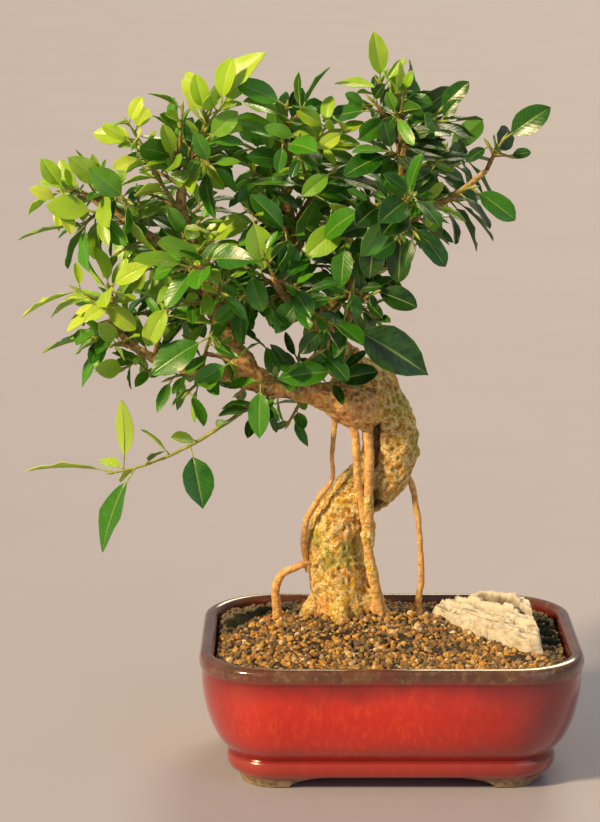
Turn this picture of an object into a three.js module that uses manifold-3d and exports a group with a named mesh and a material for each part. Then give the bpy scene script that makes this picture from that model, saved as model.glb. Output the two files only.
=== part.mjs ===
// A Chinese banyan fig grown as a bonsai, about 400 mm tall, in a red glazed stoneware pot of 210 x 158 mm.
// The trunk bends like an S, drops aerial roots to the soil and carries a wide crown of leafy shoots.
// A ridged slab of pale rock lies on the gritty soil. Drain screens lie over two holes in the pot's floor.
// Units are millimetres and +Z is up. Everything is laid out about the pot's centre on the table, x to the
// viewer's right and y away from the viewer, and the finished group is then centred on its own footprint.

import * as THREE from "three";
import { mergeVertices } from "three/addons/utils/BufferGeometryUtils.js";
import Module from "manifold-3d";

const wasm = await Module();
wasm.setup();

// Driving sizes
const GAP = 0.3; // clearance between pieces that touch
const POT = { width: 210, depth: 158, corner: 42 };
const FLOOR_TOP = 14;
const UNDERSIDE = 7.6;
const CORNER_STEPS = 5;
const HOLE = { spacing: 90, radius: 7, sides: 16 };
const SCREEN = { side: 22, thick: 1.2, bar: 2, cells: 3 };
const SOIL_EDGE = 66; // height of the soil at the pot's wall
const SOIL_MOUND = { height: 12, x: -20, y: 20, spreadX: 60, spreadY: 45 };
const SOIL_GRIT = 1.3; // how far the loose grains rise and fall
const ROCK = { x: 57, y: 2, z: 64, height: 21, rough: 0.08, buried: 2, bed: 1.07 };
const ROCK_RIDGES = { wide: 2.2, narrow: 1.3, wideEvery: 4.2, narrowEvery: 2.3 };
const TWIG = { base: 1.4, tip: 0.8, forkAt: 0.45, bow: 0.1, bareShare: 0.3, node: 0.6 };
const LEAF = { length: 29, slimness: 0.56, petiole: 0.2, fold: 0.3, thick: 0.9, lift: 0.13, large: 36 };
const EDGE_RISE = 0.18; // how far a blade's edges stand above its keel, as a share of its half width
const LEAF_CLEAR = 3; // least distance between the sampled points of two leaves
const LEAD_CLEAR = 2; // the same for the leaves that are set by hand
const WOOD_CLEAR = 2.2;
const OWN_TWIG = { reach: 7, clear: 2 }; // a leaf keeps clear of its own twig beyond this reach of its stalk
const TRIES = 14; // ways that a leaf may be turned before it is left out

const COLOURS = {
  pot: { color: 0xa32014, roughness: 0.22 },
  soil: { color: 0x6b4a2a, roughness: 0.95 },
  rock: { color: 0xc9b896, roughness: 0.9 },
  screen: { color: 0x1d1f1c, roughness: 0.6 },
  bark: { color: 0x9c7a44, roughness: 0.8 },
  leaf: { color: 0x2f6b1c, roughness: 0.4 },
  youngLeaf: { color: 0x8fae2a, roughness: 0.4 },
};

const UP = new THREE.Vector3(0, 0, 1);
const ASLANT = new THREE.Vector3(0.6, 0.8, 0); // level, and along no twig
const CROWN_CENTRE = new THREE.Vector3(-60, 10, 285); // the leaves face away from here

// The pot's outside from the foot up, as [height, inset from the rim's widest line]
const POT_OUTSIDE = [
  [0, 23],
  [6.5, 20],
  [8.5, 16.4],
  [11, 15.1],
  [16, 15],
  [17.5, 16.4],
  [19.5, 15],
  [26, 9.8],
  [35, 5.6],
  [44, 3.1],
  [54, 1.5],
  [64, 1.1],
  [65.5, 0.2],
  [69.5, 0],
  [72, 1],
  [73, 3.4],
];
const POT_INSIDE = [
  [73, 5.6],
  [71.4, 7.6],
  [63, 8.6],
  [46, 11],
  [30, 16.5],
  [20, 22.5],
  [FLOOR_TOP, 28],
];
const FOOT_RING = { inner: 38 };
const FOOT_CUT = { alongX: 56, alongY: 32, rise: 7.4, ramp: 21 };

// The rock's outline seen from above, about its own middle. Its long straight front faces left and forward.
const ROCK_OUTLINE = [
  [-33, 36],
  [-14, 8],
  [8, -16],
  [20, -28],
  [27, -27],
  [27, -5],
  [25, 22],
  [17, 37],
  [-4, 44],
  [-22, 44],
];
const ROCK_FRONT = [0.73, 0.68]; // the way across the front, and so across the ridges beside it

// Limbs, aerial roots and buried roots of the tree: each runs through [x, y, z, radius]
const WOOD = {
  trunk: {
    sides: 11,
    route: [
      [-25, 28, 50, 18], [-25, 28, 75, 18.5], [-28, 28, 94, 16.4], [-30, 28, 112, 15.8], [-28, 28, 128, 15.4],
      [-18, 27, 143, 14.2], [-5, 27, 156, 15], [1, 26, 173, 14.6], [-1, 25, 191, 13], [-9, 23, 207, 11.5],
      [-21, 21, 217, 10.5], [-33, 24, 229, 8],
    ],
  },
  top: {
    sides: 7,
    route: [
      [-28, 22, 222, 8], [-43, 25, 248, 6], [-50, 20, 272, 4.6], [-55, 18, 296, 3.4], [-58, 15, 318, 2.4],
      [-60, 12, 338, 1.6],
    ],
  },
  crown: {
    sides: 6,
    route: [
      [-40, 25, 242, 5.5], [-26, 16, 264, 5], [-12, 10, 286, 4.6], [-2, 5, 306, 5], [4, 5, 328, 3.4],
      [6, 5, 346, 2.4], [2, 3, 360, 1.6],
    ],
  },
  right: {
    sides: 5,
    route: [
      [-4, 6, 302, 3.4], [10, 0, 310, 2.8], [23, -5, 312, 2.2], [37, -9, 321, 1.8], [50, -12, 332, 1.5],
    ],
  },
  rightLow: {
    sides: 5,
    route: [[-28, 18, 262, 3], [-22, 2, 262, 2.2], [-22, -10, 256, 1.8], [-24, -16, 250, 1.5]],
  },
  left: {
    sides: 8,
    route: [
      [-4, 24, 196, 5], [-13, 15, 196, 10.5], [-24, 12, 200, 11], [-35, 10, 204, 7.6], [-45, 8, 207, 5.8],
      [-57, 4, 209, 5], [-71, 0, 214, 6.2], [-84, 0, 223, 8.2],
    ],
  },
  leftRiser: {
    sides: 7,
    route: [
      [-80, 0, 219, 7.5], [-91, 4, 238, 6.5], [-95, 8, 256, 5.2], [-102, 5, 276, 4.4], [-110, 0, 294, 3.6],
      [-114, -3, 315, 2.8], [-110, -3, 334, 2.2], [-103, 0, 350, 1.6],
    ],
  },
  leftLow: {
    sides: 5,
    route: [
      [-80, 0, 219, 5], [-104, -8, 221, 3.4], [-126, -12, 228, 2.6], [-142, -14, 238, 2.2],
      [-151, -14, 250, 1.8], [-152, -12, 264, 1.5],
    ],
  },
  leftOut: {
    sides: 5,
    route: [
      [-101, 5, 274, 3.8], [-122, 0, 289, 2.8], [-142, 0, 301, 2.3], [-158, 3, 312, 1.9],
      [-168, 4, 318, 1.5],
    ],
  },
  backLeft: {
    sides: 5,
    route: [[-92, 5, 244, 4.2], [-104, 26, 256, 3.2], [-115, 43, 269, 2.4], [-122, 55, 282, 1.6]],
  },
  backMid: {
    sides: 5,
    route: [[-46, 24, 256, 4.6], [-48, 44, 270, 3.6], [-52, 60, 288, 2.7], [-56, 70, 303, 1.7]],
  },
  backRight: {
    sides: 5,
    route: [[-14, 11, 281, 4], [4, 30, 291, 3.2], [18, 46, 304, 2.4], [25, 56, 317, 1.6]],
  },
  frontLeft: {
    sides: 5,
    route: [[-94, 7, 252, 3.6], [-98, -14, 260, 2.8], [-100, -32, 268, 2.1], [-99, -44, 279, 1.5]],
  },
  frontMid: {
    sides: 5,
    route: [[-44, 24, 250, 3.6], [-53, 4, 256, 2.8], [-60, -14, 266, 2.2], [-64, -30, 276, 1.5]],
  },
  frontRight: { sides: 5, route: [[-4, 6, 300, 3.4], [0, -14, 304, 2.5], [5, -30, 311, 1.6]] },
  strandFront: {
    sides: 5,
    route: [
      [-22, 12, 194, 3], [-19, 7, 176, 2.3], [-18, 8, 158, 2.2], [-15, 11, 140, 2.4], [-12, 13, 120, 2.6],
      [-9, 15, 100, 3], [-5, 17, 78, 3.4], [-3, 17, 56, 2.6],
    ],
  },
  strandInner: {
    sides: 5,
    route: [
      [-13, 16, 194, 3.4], [-12, 9, 173, 2.9], [-12, 9, 155, 2.8], [-12, 11, 138, 2.8],
      [-11, 14, 118, 2.6],
    ],
  },
  strandLeft: {
    sides: 5,
    route: [
      [-30, 12, 196, 1.8], [-32, 12, 172, 1.2], [-32, 12, 157, 1.3], [-40, 13, 145, 1.7], [-46, 16, 132, 1.8],
      [-48, 19, 117, 1.8], [-45, 23, 101, 2.2],
    ],
  },
  kneeRoot: {
    sides: 5,
    route: [
      [-41, 24, 108, 2.4], [-52, 20, 104, 2], [-60, 19, 100, 2.1], [-64, 20, 90, 2.3], [-63, 23, 76, 2.8],
      [-62, 24, 56, 2.2],
    ],
  },
  propRoot: {
    sides: 5,
    route: [
      [7, 27, 159, 2.6], [13, 26, 151, 1.9], [16, 25, 136, 1.6], [18, 26, 115, 1.6], [19, 29, 94, 1.7],
      [17, 33, 76, 2], [17, 34, 56, 1.6],
    ],
  },
  backRoot: {
    sides: 5,
    route: [
      [-17, 40, 146, 2.6], [-23, 48, 130, 1.9], [-29, 51, 106, 1.9], [-32, 51, 80, 2.3],
      [-32, 50, 56, 1.8],
    ],
  },
  flareRight: { sides: 5, route: [[-18, 24, 94, 7], [-9, 22, 81, 6], [1, 21, 71, 4.6], [12, 19, 58, 3]] },
  flareLeft: {
    sides: 5,
    route: [[-35, 26, 92, 6], [-43, 24, 79, 5.4], [-51, 20, 67, 3.8], [-58, 16, 56, 2.4]],
  },
  flareFront: {
    sides: 5,
    route: [[-27, 21, 90, 7], [-27, 12, 79, 6], [-25, 3, 69, 4.4], [-22, -6, 57, 2.8]],
  },
  flareBack: { sides: 5, route: [[-24, 38, 90, 7], [-22, 46, 76, 5], [-19, 53, 62, 3.4]] },
  rootRight: { sides: 5, route: [[-25, 28, 62, 9], [-4, 14, 50, 5], [22, 2, 38, 3], [46, -8, 28, 1.8]] },
  rootLeft: { sides: 5, route: [[-25, 28, 62, 9], [-48, 12, 48, 5], [-66, -6, 34, 2.4]] },
  rootBack: { sides: 5, route: [[-25, 28, 60, 9], [-12, 40, 46, 4.4], [8, 44, 32, 2.2]] },
  rootDeep: { sides: 5, route: [[-25, 28, 58, 12], [-22, 18, 42, 7], [-14, 4, 27, 2.8]] },
};
// Limbs that the leaves keep clear of, apart from the trunk's own foot and the buried roots
const BURIED = ["rootRight", "rootLeft", "rootBack", "rootDeep"];

// Leafy shoots: the limb and the share of its steps that each grows from, and its twigs. The first twig comes
// from the limb and the others fork from it. A twig runs to a point, may end in a leading leaf with its tip
// at a given point, and carries as many more leaves as it says. A leaf at its side is [share of the twig, x, y, z].
const SHOOTS = [
  {
    limb: "crown",
    at: 1,
    young: true,
    twigs: [
      { to: [-7, 0, 377], lead: [-11, -4, 405], leaves: 2 },
      { to: [6, -6, 373], lead: [10, -8, 385], leaves: 1 },
    ],
  },
  {
    limb: "crown",
    at: 0.93,
    twigs: [
      { to: [-15, -8, 365], lead: [-26, -14, 373], leaves: 2 },
      { to: [-11, -2, 368], lead: [-5, -10, 378], leaves: 2 },
    ],
  },
  {
    limb: "crown",
    at: 0.88,
    twigs: [
      { to: [5, -4, 369], lead: [21, -10, 367], leaves: 3 },
      { to: [1, -12, 362], lead: [-4, -16, 374], leaves: 2 },
    ],
  },
  {
    limb: "crown",
    at: 0.8,
    twigs: [
      { to: [23, -6, 362], lead: [40, -10, 379], leaves: 3 },
      { to: [25, -12, 358], lead: [34, -14, 370], leaves: 2 },
    ],
  },
  {
    limb: "crown",
    at: 0.72,
    twigs: [
      { to: [-1, -16, 342], lead: [-6, -22, 359], leaves: 4 },
      { to: [5, -14, 350], lead: [20, -22, 354], leaves: 4 },
    ],
  },
  { limb: "crown", at: 0.64, twigs: [{ to: [24, -10, 337], lead: [10, -18, 316], leaves: 4 }] },
  {
    limb: "crown",
    at: 0.5,
    twigs: [
      { to: [10, -14, 303], lead: [28, -20, 281], leaves: 3 },
      { to: [5, -16, 302], lead: [3, -18, 272], leaves: 3 },
    ],
  },
  {
    limb: "crown",
    at: 0.36,
    twigs: [
      { to: [-9, -16, 305], lead: [-13, -22, 275], leaves: 4 },
      { to: [-25, -18, 297], lead: [-28, -24, 270], leaves: 4 },
    ],
  },
  {
    limb: "right",
    at: 1,
    twigs: [
      { to: [58, -14, 348], lead: [83, -18, 366], leaves: 1 },
      { to: [51, -14, 345], lead: [38, -20, 337], leaves: 1 },
      { to: [61, -16, 340], lead: [73, -18, 342], leaves: 0 },
    ],
  },
  { limb: "right", at: 0.62, twigs: [{ to: [41, -16, 323], lead: [65, -20, 306], leaves: 1 }] },
  {
    limb: "right",
    at: 0.35,
    young: true,
    twigs: [
      { to: [21, -14, 313], lead: [18, -20, 302], leaves: 3 },
    ],
  },
  {
    limb: "rightLow",
    at: 1,
    twigs: [
      { to: [-27, -22, 251], lead: [19, -26, 223], leaves: 0 },
      { to: [-22, -18, 269], lead: [-19, -22, 253], leaves: 1 },
    ],
  },
  {
    limb: "rightLow",
    at: 0.5,
    twigs: [
      { to: [-12, -16, 268], lead: [13, -20, 259], leaves: 0 },
      { to: [-30, -20, 264], lead: [-51, -26, 262], leaves: 1 },
    ],
  },
  {
    limb: "top",
    at: 1,
    twigs: [
      { to: [-57, -2, 365], lead: [-84, -6, 378], leaves: 2 },
      { to: [-49, 0, 362], lead: [-34, -2, 386], level: true, leaves: 2 },
    ],
  },
  {
    limb: "top",
    at: 0.86,
    twigs: [
      { to: [-51, -8, 349], lead: [-69, -14, 355], leaves: 4 },
      { to: [-59, -12, 347], lead: [-62, -16, 331], leaves: 3 },
    ],
  },
  {
    limb: "top",
    at: 0.76,
    young: true,
    twigs: [
      { to: [-36, -4, 354], lead: [-52, -10, 363], leaves: 4 },
      { to: [-26, -10, 352], lead: [-40, -16, 344], leaves: 3 },
    ],
  },
  {
    limb: "top",
    at: 0.6,
    twigs: [
      { to: [-32, -14, 332], lead: [-49, -20, 319], leaves: 4 },
      { to: [-50, -16, 340], lead: [-55, -22, 329], leaves: 3 },
    ],
  },
  {
    limb: "top",
    at: 0.44,
    young: true,
    twigs: [
      { to: [-23, -14, 305], lead: [-47, -22, 287], leaves: 4 },
    ],
  },
  {
    limb: "top",
    at: 0.34,
    twigs: [
      { to: [-58, -14, 300], lead: [-55, -22, 271], leaves: 3 },
      { to: [-76, -14, 309], lead: [-69, -22, 280], leaves: 3 },
    ],
  },
  {
    limb: "leftRiser",
    at: 1,
    young: true,
    twigs: [
      { to: [-97, -2, 365], lead: [-68, -6, 394], leaves: 3 },
      { to: [-101, -4, 361], lead: [-106, -8, 383], leaves: 3 },
    ],
  },
  {
    limb: "leftRiser",
    at: 0.9,
    young: true,
    twigs: [
      { to: [-92, -8, 366], lead: [-86, -12, 392], leaves: 4 },
    ],
  },
  {
    limb: "leftRiser",
    at: 0.82,
    twigs: [
      { to: [-100, -14, 348], lead: [-83, -20, 364], leaves: 3 },
      { to: [-98, -16, 335], lead: [-106, -22, 353], leaves: 3 },
    ],
  },
  {
    limb: "leftRiser",
    at: 0.74,
    twigs: [
      { to: [-118, -12, 337], lead: [-123, -18, 357], leaves: 4 },
      { to: [-113, -8, 364], lead: [-131, -12, 373], level: true, leaves: 2 },
    ],
  },
  {
    limb: "leftRiser",
    at: 0.62,
    young: true,
    twigs: [
      { to: [-141, -10, 347], lead: [-156, -14, 356], leaves: 4 },
      { to: [-142, -6, 356], lead: [-134, -10, 371], leaves: 2 },
    ],
  },
  {
    limb: "leftOut",
    at: 1,
    young: true,
    twigs: [
      { to: [-178, -2, 320], lead: [-189, -8, 338], leaves: 4 },
      { to: [-180, -6, 315], lead: [-195, -10, 322], leaves: 2 },
    ],
  },
  {
    limb: "leftOut",
    at: 0.84,
    twigs: [
      { to: [-154, -8, 321], lead: [-174, -14, 339], leaves: 3 },
      { to: [-142, -18, 316], lead: [-162, -27, 335], leaves: 3 },
    ],
  },
  {
    limb: "leftOut",
    at: 0.7,
    twigs: [
      { to: [-168, -6, 301], lead: [-202, -10, 294], level: true, leaves: 3 },
      { to: [-158, -10, 309], lead: [-186, -14, 313], leaves: 2 },
    ],
  },
  {
    limb: "leftLow",
    at: 1,
    young: true,
    twigs: [
      { to: [-153, -16, 269], lead: [-131, -22, 282], leaves: 4 },
    ],
  },
  {
    limb: "leftLow",
    at: 0.84,
    young: true,
    twigs: [
      { to: [-169, -14, 267], lead: [-200, -18, 253], level: true, leaves: 2 },
      { to: [-151, -20, 261], lead: [-166, -24, 252], leaves: 1 },
    ],
  },
  {
    limb: "leftLow",
    at: 0.68,
    twigs: [
      { to: [-157, -16, 242], lead: [-189, -20, 234], level: true, leaves: 2 },
    ],
  },
  { limb: "leftLow", at: 0.44, twigs: [{ to: [-119, -24, 263], lead: [-132, -28, 239], leaves: 4 }] },
  {
    limb: "leftLow",
    at: 0.2,
    twigs: [
      { to: [-98, -26, 244], lead: [-130, -30, 224], leaves: 1 },
      { to: [-87, -20, 229], lead: [-107, -26, 218], leaves: 0 },
    ],
  },
  {
    limb: "left",
    at: 0.6,
    twigs: [
      { to: [-71, -16, 218], lead: [-72, -20, 187], leaves: 0 },
      { to: [-39, -22, 235], lead: [-24, -28, 220], leaves: 1 },
    ],
  },
  { limb: "left", at: 0.45, twigs: [{ to: [-28, -20, 224], lead: [-62, -26, 221], leaves: 1 }] },
  {
    limb: "frontMid",
    at: 1,
    twigs: [
      { to: [-48, -30, 268], lead: [-63, -34, 247], leaves: 3 },
      { to: [-37, -28, 250], lead: [-50, -33, 236], leaves: 3 },
    ],
  },
  {
    limb: "frontMid",
    at: 0.6,
    twigs: [
      { to: [-77, -22, 280], lead: [-70, -28, 258], leaves: 3 },
      { to: [-82, -26, 264], lead: [-95, -32, 253], leaves: 3 },
    ],
  },
  {
    limb: "leftRiser",
    at: 0.46,
    young: true,
    twigs: [
      { to: [-95, -20, 298], lead: [-99, -28, 262], leaves: 3 },
    ],
  },
  {
    limb: "left",
    at: 0.8,
    young: true,
    twigs: [
      {
        to: [-152, -16, 167],
        sag: -17,
        lead: [-200, -18, 168],
        level: true,
        side: [[0.94, -147, -18, 208], [0.8, -124, -22, 180], [0.86, -158, -24, 124], [0.52, -103, -22, 148]],
        leaves: 0,
      },
    ],
  },
  { limb: "backMid", at: 1, twigs: [{ to: [-60, 84, 322], leaves: 5 }, { to: [-42, 82, 318], leaves: 3 }] },
  {
    limb: "backMid",
    at: 0.7,
    twigs: [
      { to: [-30, 74, 296], leaves: 4 },
      { to: [-74, 70, 290], leaves: 4 },
    ],
  },
  {
    limb: "backMid",
    at: 0.4,
    twigs: [
      { to: [-66, 54, 262], leaves: 4 },
      { to: [-28, 50, 270], leaves: 3 },
    ],
  },
  { limb: "backRight", at: 1, twigs: [{ to: [32, 66, 336], leaves: 4 }, { to: [42, 52, 332], leaves: 4 }] },
  {
    limb: "backRight",
    at: 0.7,
    twigs: [
      { to: [36, 36, 310], leaves: 4 },
      { to: [2, 64, 312], leaves: 4 },
    ],
  },
  {
    limb: "backLeft",
    at: 1,
    twigs: [
      { to: [-132, 66, 300], leaves: 5 },
      { to: [-112, 70, 296], leaves: 3 },
    ],
  },
  {
    limb: "backLeft",
    at: 0.6,
    twigs: [
      { to: [-140, 44, 270], leaves: 4 },
      { to: [-108, 52, 250], leaves: 3 },
    ],
  },
  {
    limb: "leftRiser",
    at: 0.7,
    twigs: [
      { to: [-120, 28, 346], leaves: 4 },
      { to: [-98, 34, 342], leaves: 4 },
    ],
  },
  {
    limb: "leftOut",
    at: 0.5,
    twigs: [
      { to: [-152, 28, 318], leaves: 4 },
      { to: [-136, 36, 300], leaves: 4 },
    ],
  },
  { limb: "top", at: 0.68, twigs: [{ to: [-64, 42, 340], leaves: 4 }, { to: [-44, 46, 332], leaves: 4 }] },
  { limb: "crown", at: 0.76, twigs: [{ to: [-4, 34, 358], leaves: 4 }, { to: [20, 32, 350], leaves: 4 }] },
  { limb: "crown", at: 0.58, twigs: [{ to: [34, 12, 332], leaves: 4 }, { to: [30, 26, 318], leaves: 3 }] },
  {
    limb: "leftLow",
    at: 0.6,
    twigs: [
      { to: [-152, 12, 256], leaves: 4 },
      { to: [-134, 18, 250], leaves: 3 },
    ],
  },
  {
    limb: "frontLeft",
    at: 1,
    twigs: [
      { to: [-98, -54, 290], leaves: 3 },
      { to: [-112, -48, 284], leaves: 3 },
    ],
  },
  {
    limb: "frontRight",
    at: 1,
    twigs: [
      { to: [8, -44, 322], leaves: 3 },
      { to: [-14, -42, 316], leaves: 3 },
    ],
  },
];

// A seeded draw, which gives the same numbers in every run
function randomFrom(seed) {
  let state = (seed * 2654435761) % 4294967296;
  return () => {
    state = (state * 1664525 + 1013904223) % 4294967296;
    return state / 4294967296;
  };
}

function toSolid(geometry) {
  const bare = geometry.clone();
  for (const name of Object.keys(bare.attributes)) {
    if (name !== "position") bare.deleteAttribute(name);
  }
  const merged = mergeVertices(bare, 1e-4);
  return new wasm.Manifold(
    new wasm.Mesh({
      numProp: 3,
      vertProperties: merged.attributes.position.array,
      triVerts: new Uint32Array(merged.index.array),
    }),
  );
}

function toGeometry(solid) {
  const mesh = solid.getMesh();
  const geometry = new THREE.BufferGeometry();
  geometry.setAttribute("position", new THREE.BufferAttribute(mesh.vertProperties.slice(), 3));
  geometry.setIndex(new THREE.BufferAttribute(mesh.triVerts.slice(), 1));
  geometry.computeVertexNormals();
  return geometry;
}

// The largest body of a solid: a scrap that a cut leaves loose is dropped
function mainBody(solid) {
  return solid.decompose().reduce((a, b) => (a.volume() > b.volume() ? a : b));
}

function joined(solids) {
  return wasm.Manifold.union(solids);
}

// Adds the faces between two rings of points, which may differ in number. A last ring of one point is a tip.
// Points run counter-clockwise seen from where the row of rings goes.
function bridge(faces, low, high) {
  let [i, k] = [0, 0];
  while (i < low.length || (k < high.length && high.length > 1)) {
    const lowIsNext = high.length === 1 || (i + 1) / low.length <= (k + 1) / high.length;
    const [from, to] = [low[i % low.length], high[k % high.length]];
    if (lowIsNext) faces.push([from, low[++i % low.length], to]);
    else faces.push([from, high[++k % high.length], to]);
  }
}

function closeStart(faces, ring) {
  for (let j = 1; j + 1 < ring.length; j++) faces.push([ring[0], ring[j + 1], ring[j]]);
}

function closeEnd(faces, ring) {
  for (let j = 1; j + 1 < ring.length; j++) faces.push([ring[0], ring[j], ring[j + 1]]);
}

function skin(faces) {
  const positions = faces.flat().flatMap((point) => point.toArray());
  return new THREE.BufferGeometry().setAttribute("position", new THREE.Float32BufferAttribute(positions, 3));
}

// Skins a row of rings and closes both ends flat
function loft(rings) {
  const faces = [];
  rings.slice(1).forEach((ring, i) => bridge(faces, rings[i], ring));
  closeStart(faces, rings[0]);
  closeEnd(faces, rings[rings.length - 1]);
  return skin(faces);
}

function middleOf(ring) {
  return ring.reduce((sum, point) => sum.add(point), new THREE.Vector3()).divideScalar(ring.length);
}

// The same ring, started at the point that makes the skin between it and another ring twist least
function startedBy(ring, other) {
  const axis = middleOf(other).sub(middleOf(ring)).normalize();
  const spokes = (points) => {
    const middle = middleOf(points);
    return points.map((point) => point.clone().sub(middle).projectOnPlane(axis).normalize());
  };
  const [from, to] = [spokes(ring), spokes(other)];
  const partner = (start, k) => from[(start + Math.round((k * ring.length) / to.length)) % ring.length];
  const match = (start) => to.reduce((sum, spoke, k) => sum + spoke.dot(partner(start, k)), 0);
  const start = ring.reduce((best, _, k) => (match(k) > match(best) ? k : best), 0);
  return [...ring.slice(start), ...ring.slice(0, start)];
}

// A level rounded rectangle inset from the rim's widest line, with more points along its sides if asked for
function potRing(inset, z, longSteps = 1, shortSteps = 1) {
  const [halfX, halfY] = [POT.width / 2 - inset, POT.depth / 2 - inset];
  const radius = Math.max(POT.corner - inset, 8);
  const points = [];
  for (let corner = 0; corner < 4; corner++) {
    const [signX, signY] = [corner === 0 || corner === 3 ? 1 : -1, corner < 2 ? 1 : -1];
    const centre = new THREE.Vector3(signX * (halfX - radius), signY * (halfY - radius), z);
    for (let step = 0; step <= CORNER_STEPS; step++) {
      const angle = ((corner + step / CORNER_STEPS) * Math.PI) / 2;
      points.push(new THREE.Vector3(Math.cos(angle), Math.sin(angle), 0).multiplyScalar(radius).add(centre));
    }
    const from = points[points.length - 1];
    const nextX = corner === 0 || corner === 2 ? -from.x : from.x;
    const nextY = corner === 0 || corner === 2 ? from.y : -from.y;
    const steps = corner === 0 || corner === 2 ? longSteps : shortSteps;
    for (let step = 1; step < steps; step++) {
      points.push(from.clone().lerp(new THREE.Vector3(nextX, nextY, z), step / steps));
    }
  }
  return points;
}

function insideInset(z) {
  const above = POT_INSIDE.findIndex(([height]) => height <= z);
  const [[z1, inset1], [z0, inset0]] = [POT_INSIDE[above - 1], POT_INSIDE[above]];
  return inset0 + ((inset1 - inset0) * (z - z0)) / (z1 - z0);
}

// The pot: walls, floor and foot ring in one skin, with the foot ring cut away between four corner feet
function makePot() {
  const body = loft([
    potRing(FOOT_RING.inner + 1, UNDERSIDE),
    potRing(FOOT_RING.inner, 0),
    ...POT_OUTSIDE.map(([z, inset]) => potRing(inset, z)),
    ...POT_INSIDE.map(([z, inset]) => potRing(inset, z)),
  ]);
  const archway = (half) => {
    const shape = new THREE.Shape();
    shape.moveTo(-half, -1);
    shape.lineTo(-half, 0);
    shape.quadraticCurveTo(-half + 2, FOOT_CUT.rise * 0.7, -half + FOOT_CUT.ramp, FOOT_CUT.rise);
    shape.lineTo(half - FOOT_CUT.ramp, FOOT_CUT.rise);
    shape.quadraticCurveTo(half - 2, FOOT_CUT.rise * 0.7, half, 0);
    shape.lineTo(half, -1);
    const through = { depth: POT.width, bevelEnabled: false, curveSegments: 4 };
    return new THREE.ExtrudeGeometry(shape, through).translate(0, 0, -POT.width / 2).rotateX(Math.PI / 2);
  };
  const holes = [-1, 1].map((side) =>
    toSolid(
      new THREE.CylinderGeometry(HOLE.radius, HOLE.radius, 3 * FLOOR_TOP, HOLE.sides)
        .rotateX(Math.PI / 2)
        .translate((side * HOLE.spacing) / 2, 0, FLOOR_TOP),
    ),
  );
  return toSolid(body)
    .subtract(toSolid(archway(FOOT_CUT.alongX)))
    .subtract(toSolid(archway(FOOT_CUT.alongY).rotateZ(Math.PI / 2)))
    .subtract(joined(holes));
}

// A square of plastic mesh, which keeps the soil from washing out of a drain hole
function makeScreen(side) {
  const pitch = (SCREEN.side - SCREEN.bar) / SCREEN.cells;
  const cells = [];
  for (let i = 0; i < SCREEN.cells; i++) {
    for (let j = 0; j < SCREEN.cells; j++) {
      const [x, y] = [i, j].map((k) => (k - (SCREEN.cells - 1) / 2) * pitch);
      const cell = new THREE.BoxGeometry(pitch - SCREEN.bar, pitch - SCREEN.bar, 3 * SCREEN.thick);
      cells.push(toSolid(cell.translate(x, y, 0)));
    }
  }
  const plate = toSolid(new THREE.BoxGeometry(SCREEN.side, SCREEN.side, SCREEN.thick));
  const screen = toGeometry(plate.subtract(joined(cells)));
  return screen.translate((side * HOLE.spacing) / 2, 0, FLOOR_TOP + GAP + SCREEN.thick / 2);
}

// The soil's smooth level, highest round the trunk
function soilLevel(x, y) {
  const [u, v] = [(x - SOIL_MOUND.x) / SOIL_MOUND.spreadX, (y - SOIL_MOUND.y) / SOIL_MOUND.spreadY];
  return SOIL_EDGE + SOIL_MOUND.height * Math.exp(-u * u - v * v);
}

function makeSoil(wood) {
  const random = randomFrom(7);
  const [longSteps, shortSteps] = [4, 3];
  const wall = [FLOOR_TOP + GAP, 20, 30, 45, SOIL_EDGE - 2].map((z) =>
    potRing(insideInset(z) + GAP, z, longSteps, shortSteps),
  );
  const top = [0.995, 0.88, 0.76, 0.64, 0.51, 0.38, 0.24].map((share) =>
    wall[wall.length - 1].map((edge) => {
      const [x, y] = [edge.x * share, edge.y * share];
      const grit = share > 0.99 ? -SOIL_GRIT / 2 : (random() - 0.5) * 2 * SOIL_GRIT;
      const level = soilLevel(x, y) + grit;
      return new THREE.Vector3(x, y, level);
    }),
  );
  const centre = [new THREE.Vector3(0, 0, soilLevel(0, 0))];
  const room = SCREEN.side + 2 * GAP;
  const recesses = [-1, 1].map((side) =>
    toSolid(
      new THREE.BoxGeometry(room, room, 2 * (SCREEN.thick + 2 * GAP)).translate(
        (side * HOLE.spacing) / 2,
        0,
        FLOOR_TOP + GAP,
      ),
    ),
  );
  const bedOutline = ROCK_OUTLINE.map(([x, y]) => new THREE.Vector2(x, y).multiplyScalar(ROCK.bed));
  const bed = new THREE.ExtrudeGeometry(new THREE.Shape(bedOutline), { depth: ROCK.height, bevelEnabled: false });
  const rockBed = toSolid(bed.translate(ROCK.x, ROCK.y, ROCK.z - GAP));
  return mainBody(toSolid(loft([...wall, ...top, centre])).subtract(joined([...recesses, rockBed, wood])));
}

// How far the rock reaches from its middle in a direction
function rockReach(angle) {
  const [dx, dy] = [Math.cos(angle), Math.sin(angle)];
  const crossings = ROCK_OUTLINE.map(([x, y], i) => {
    const [nextX, nextY] = ROCK_OUTLINE[(i + 1) % ROCK_OUTLINE.length];
    const [edgeX, edgeY] = [nextX - x, nextY - y];
    const turn = dx * edgeY - dy * edgeX;
    const along = (x * dy - y * dx) / turn;
    return along >= 0 && along <= 1 ? (x * edgeY - y * edgeX) / turn : -1;
  });
  return Math.max(...crossings);
}

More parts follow.
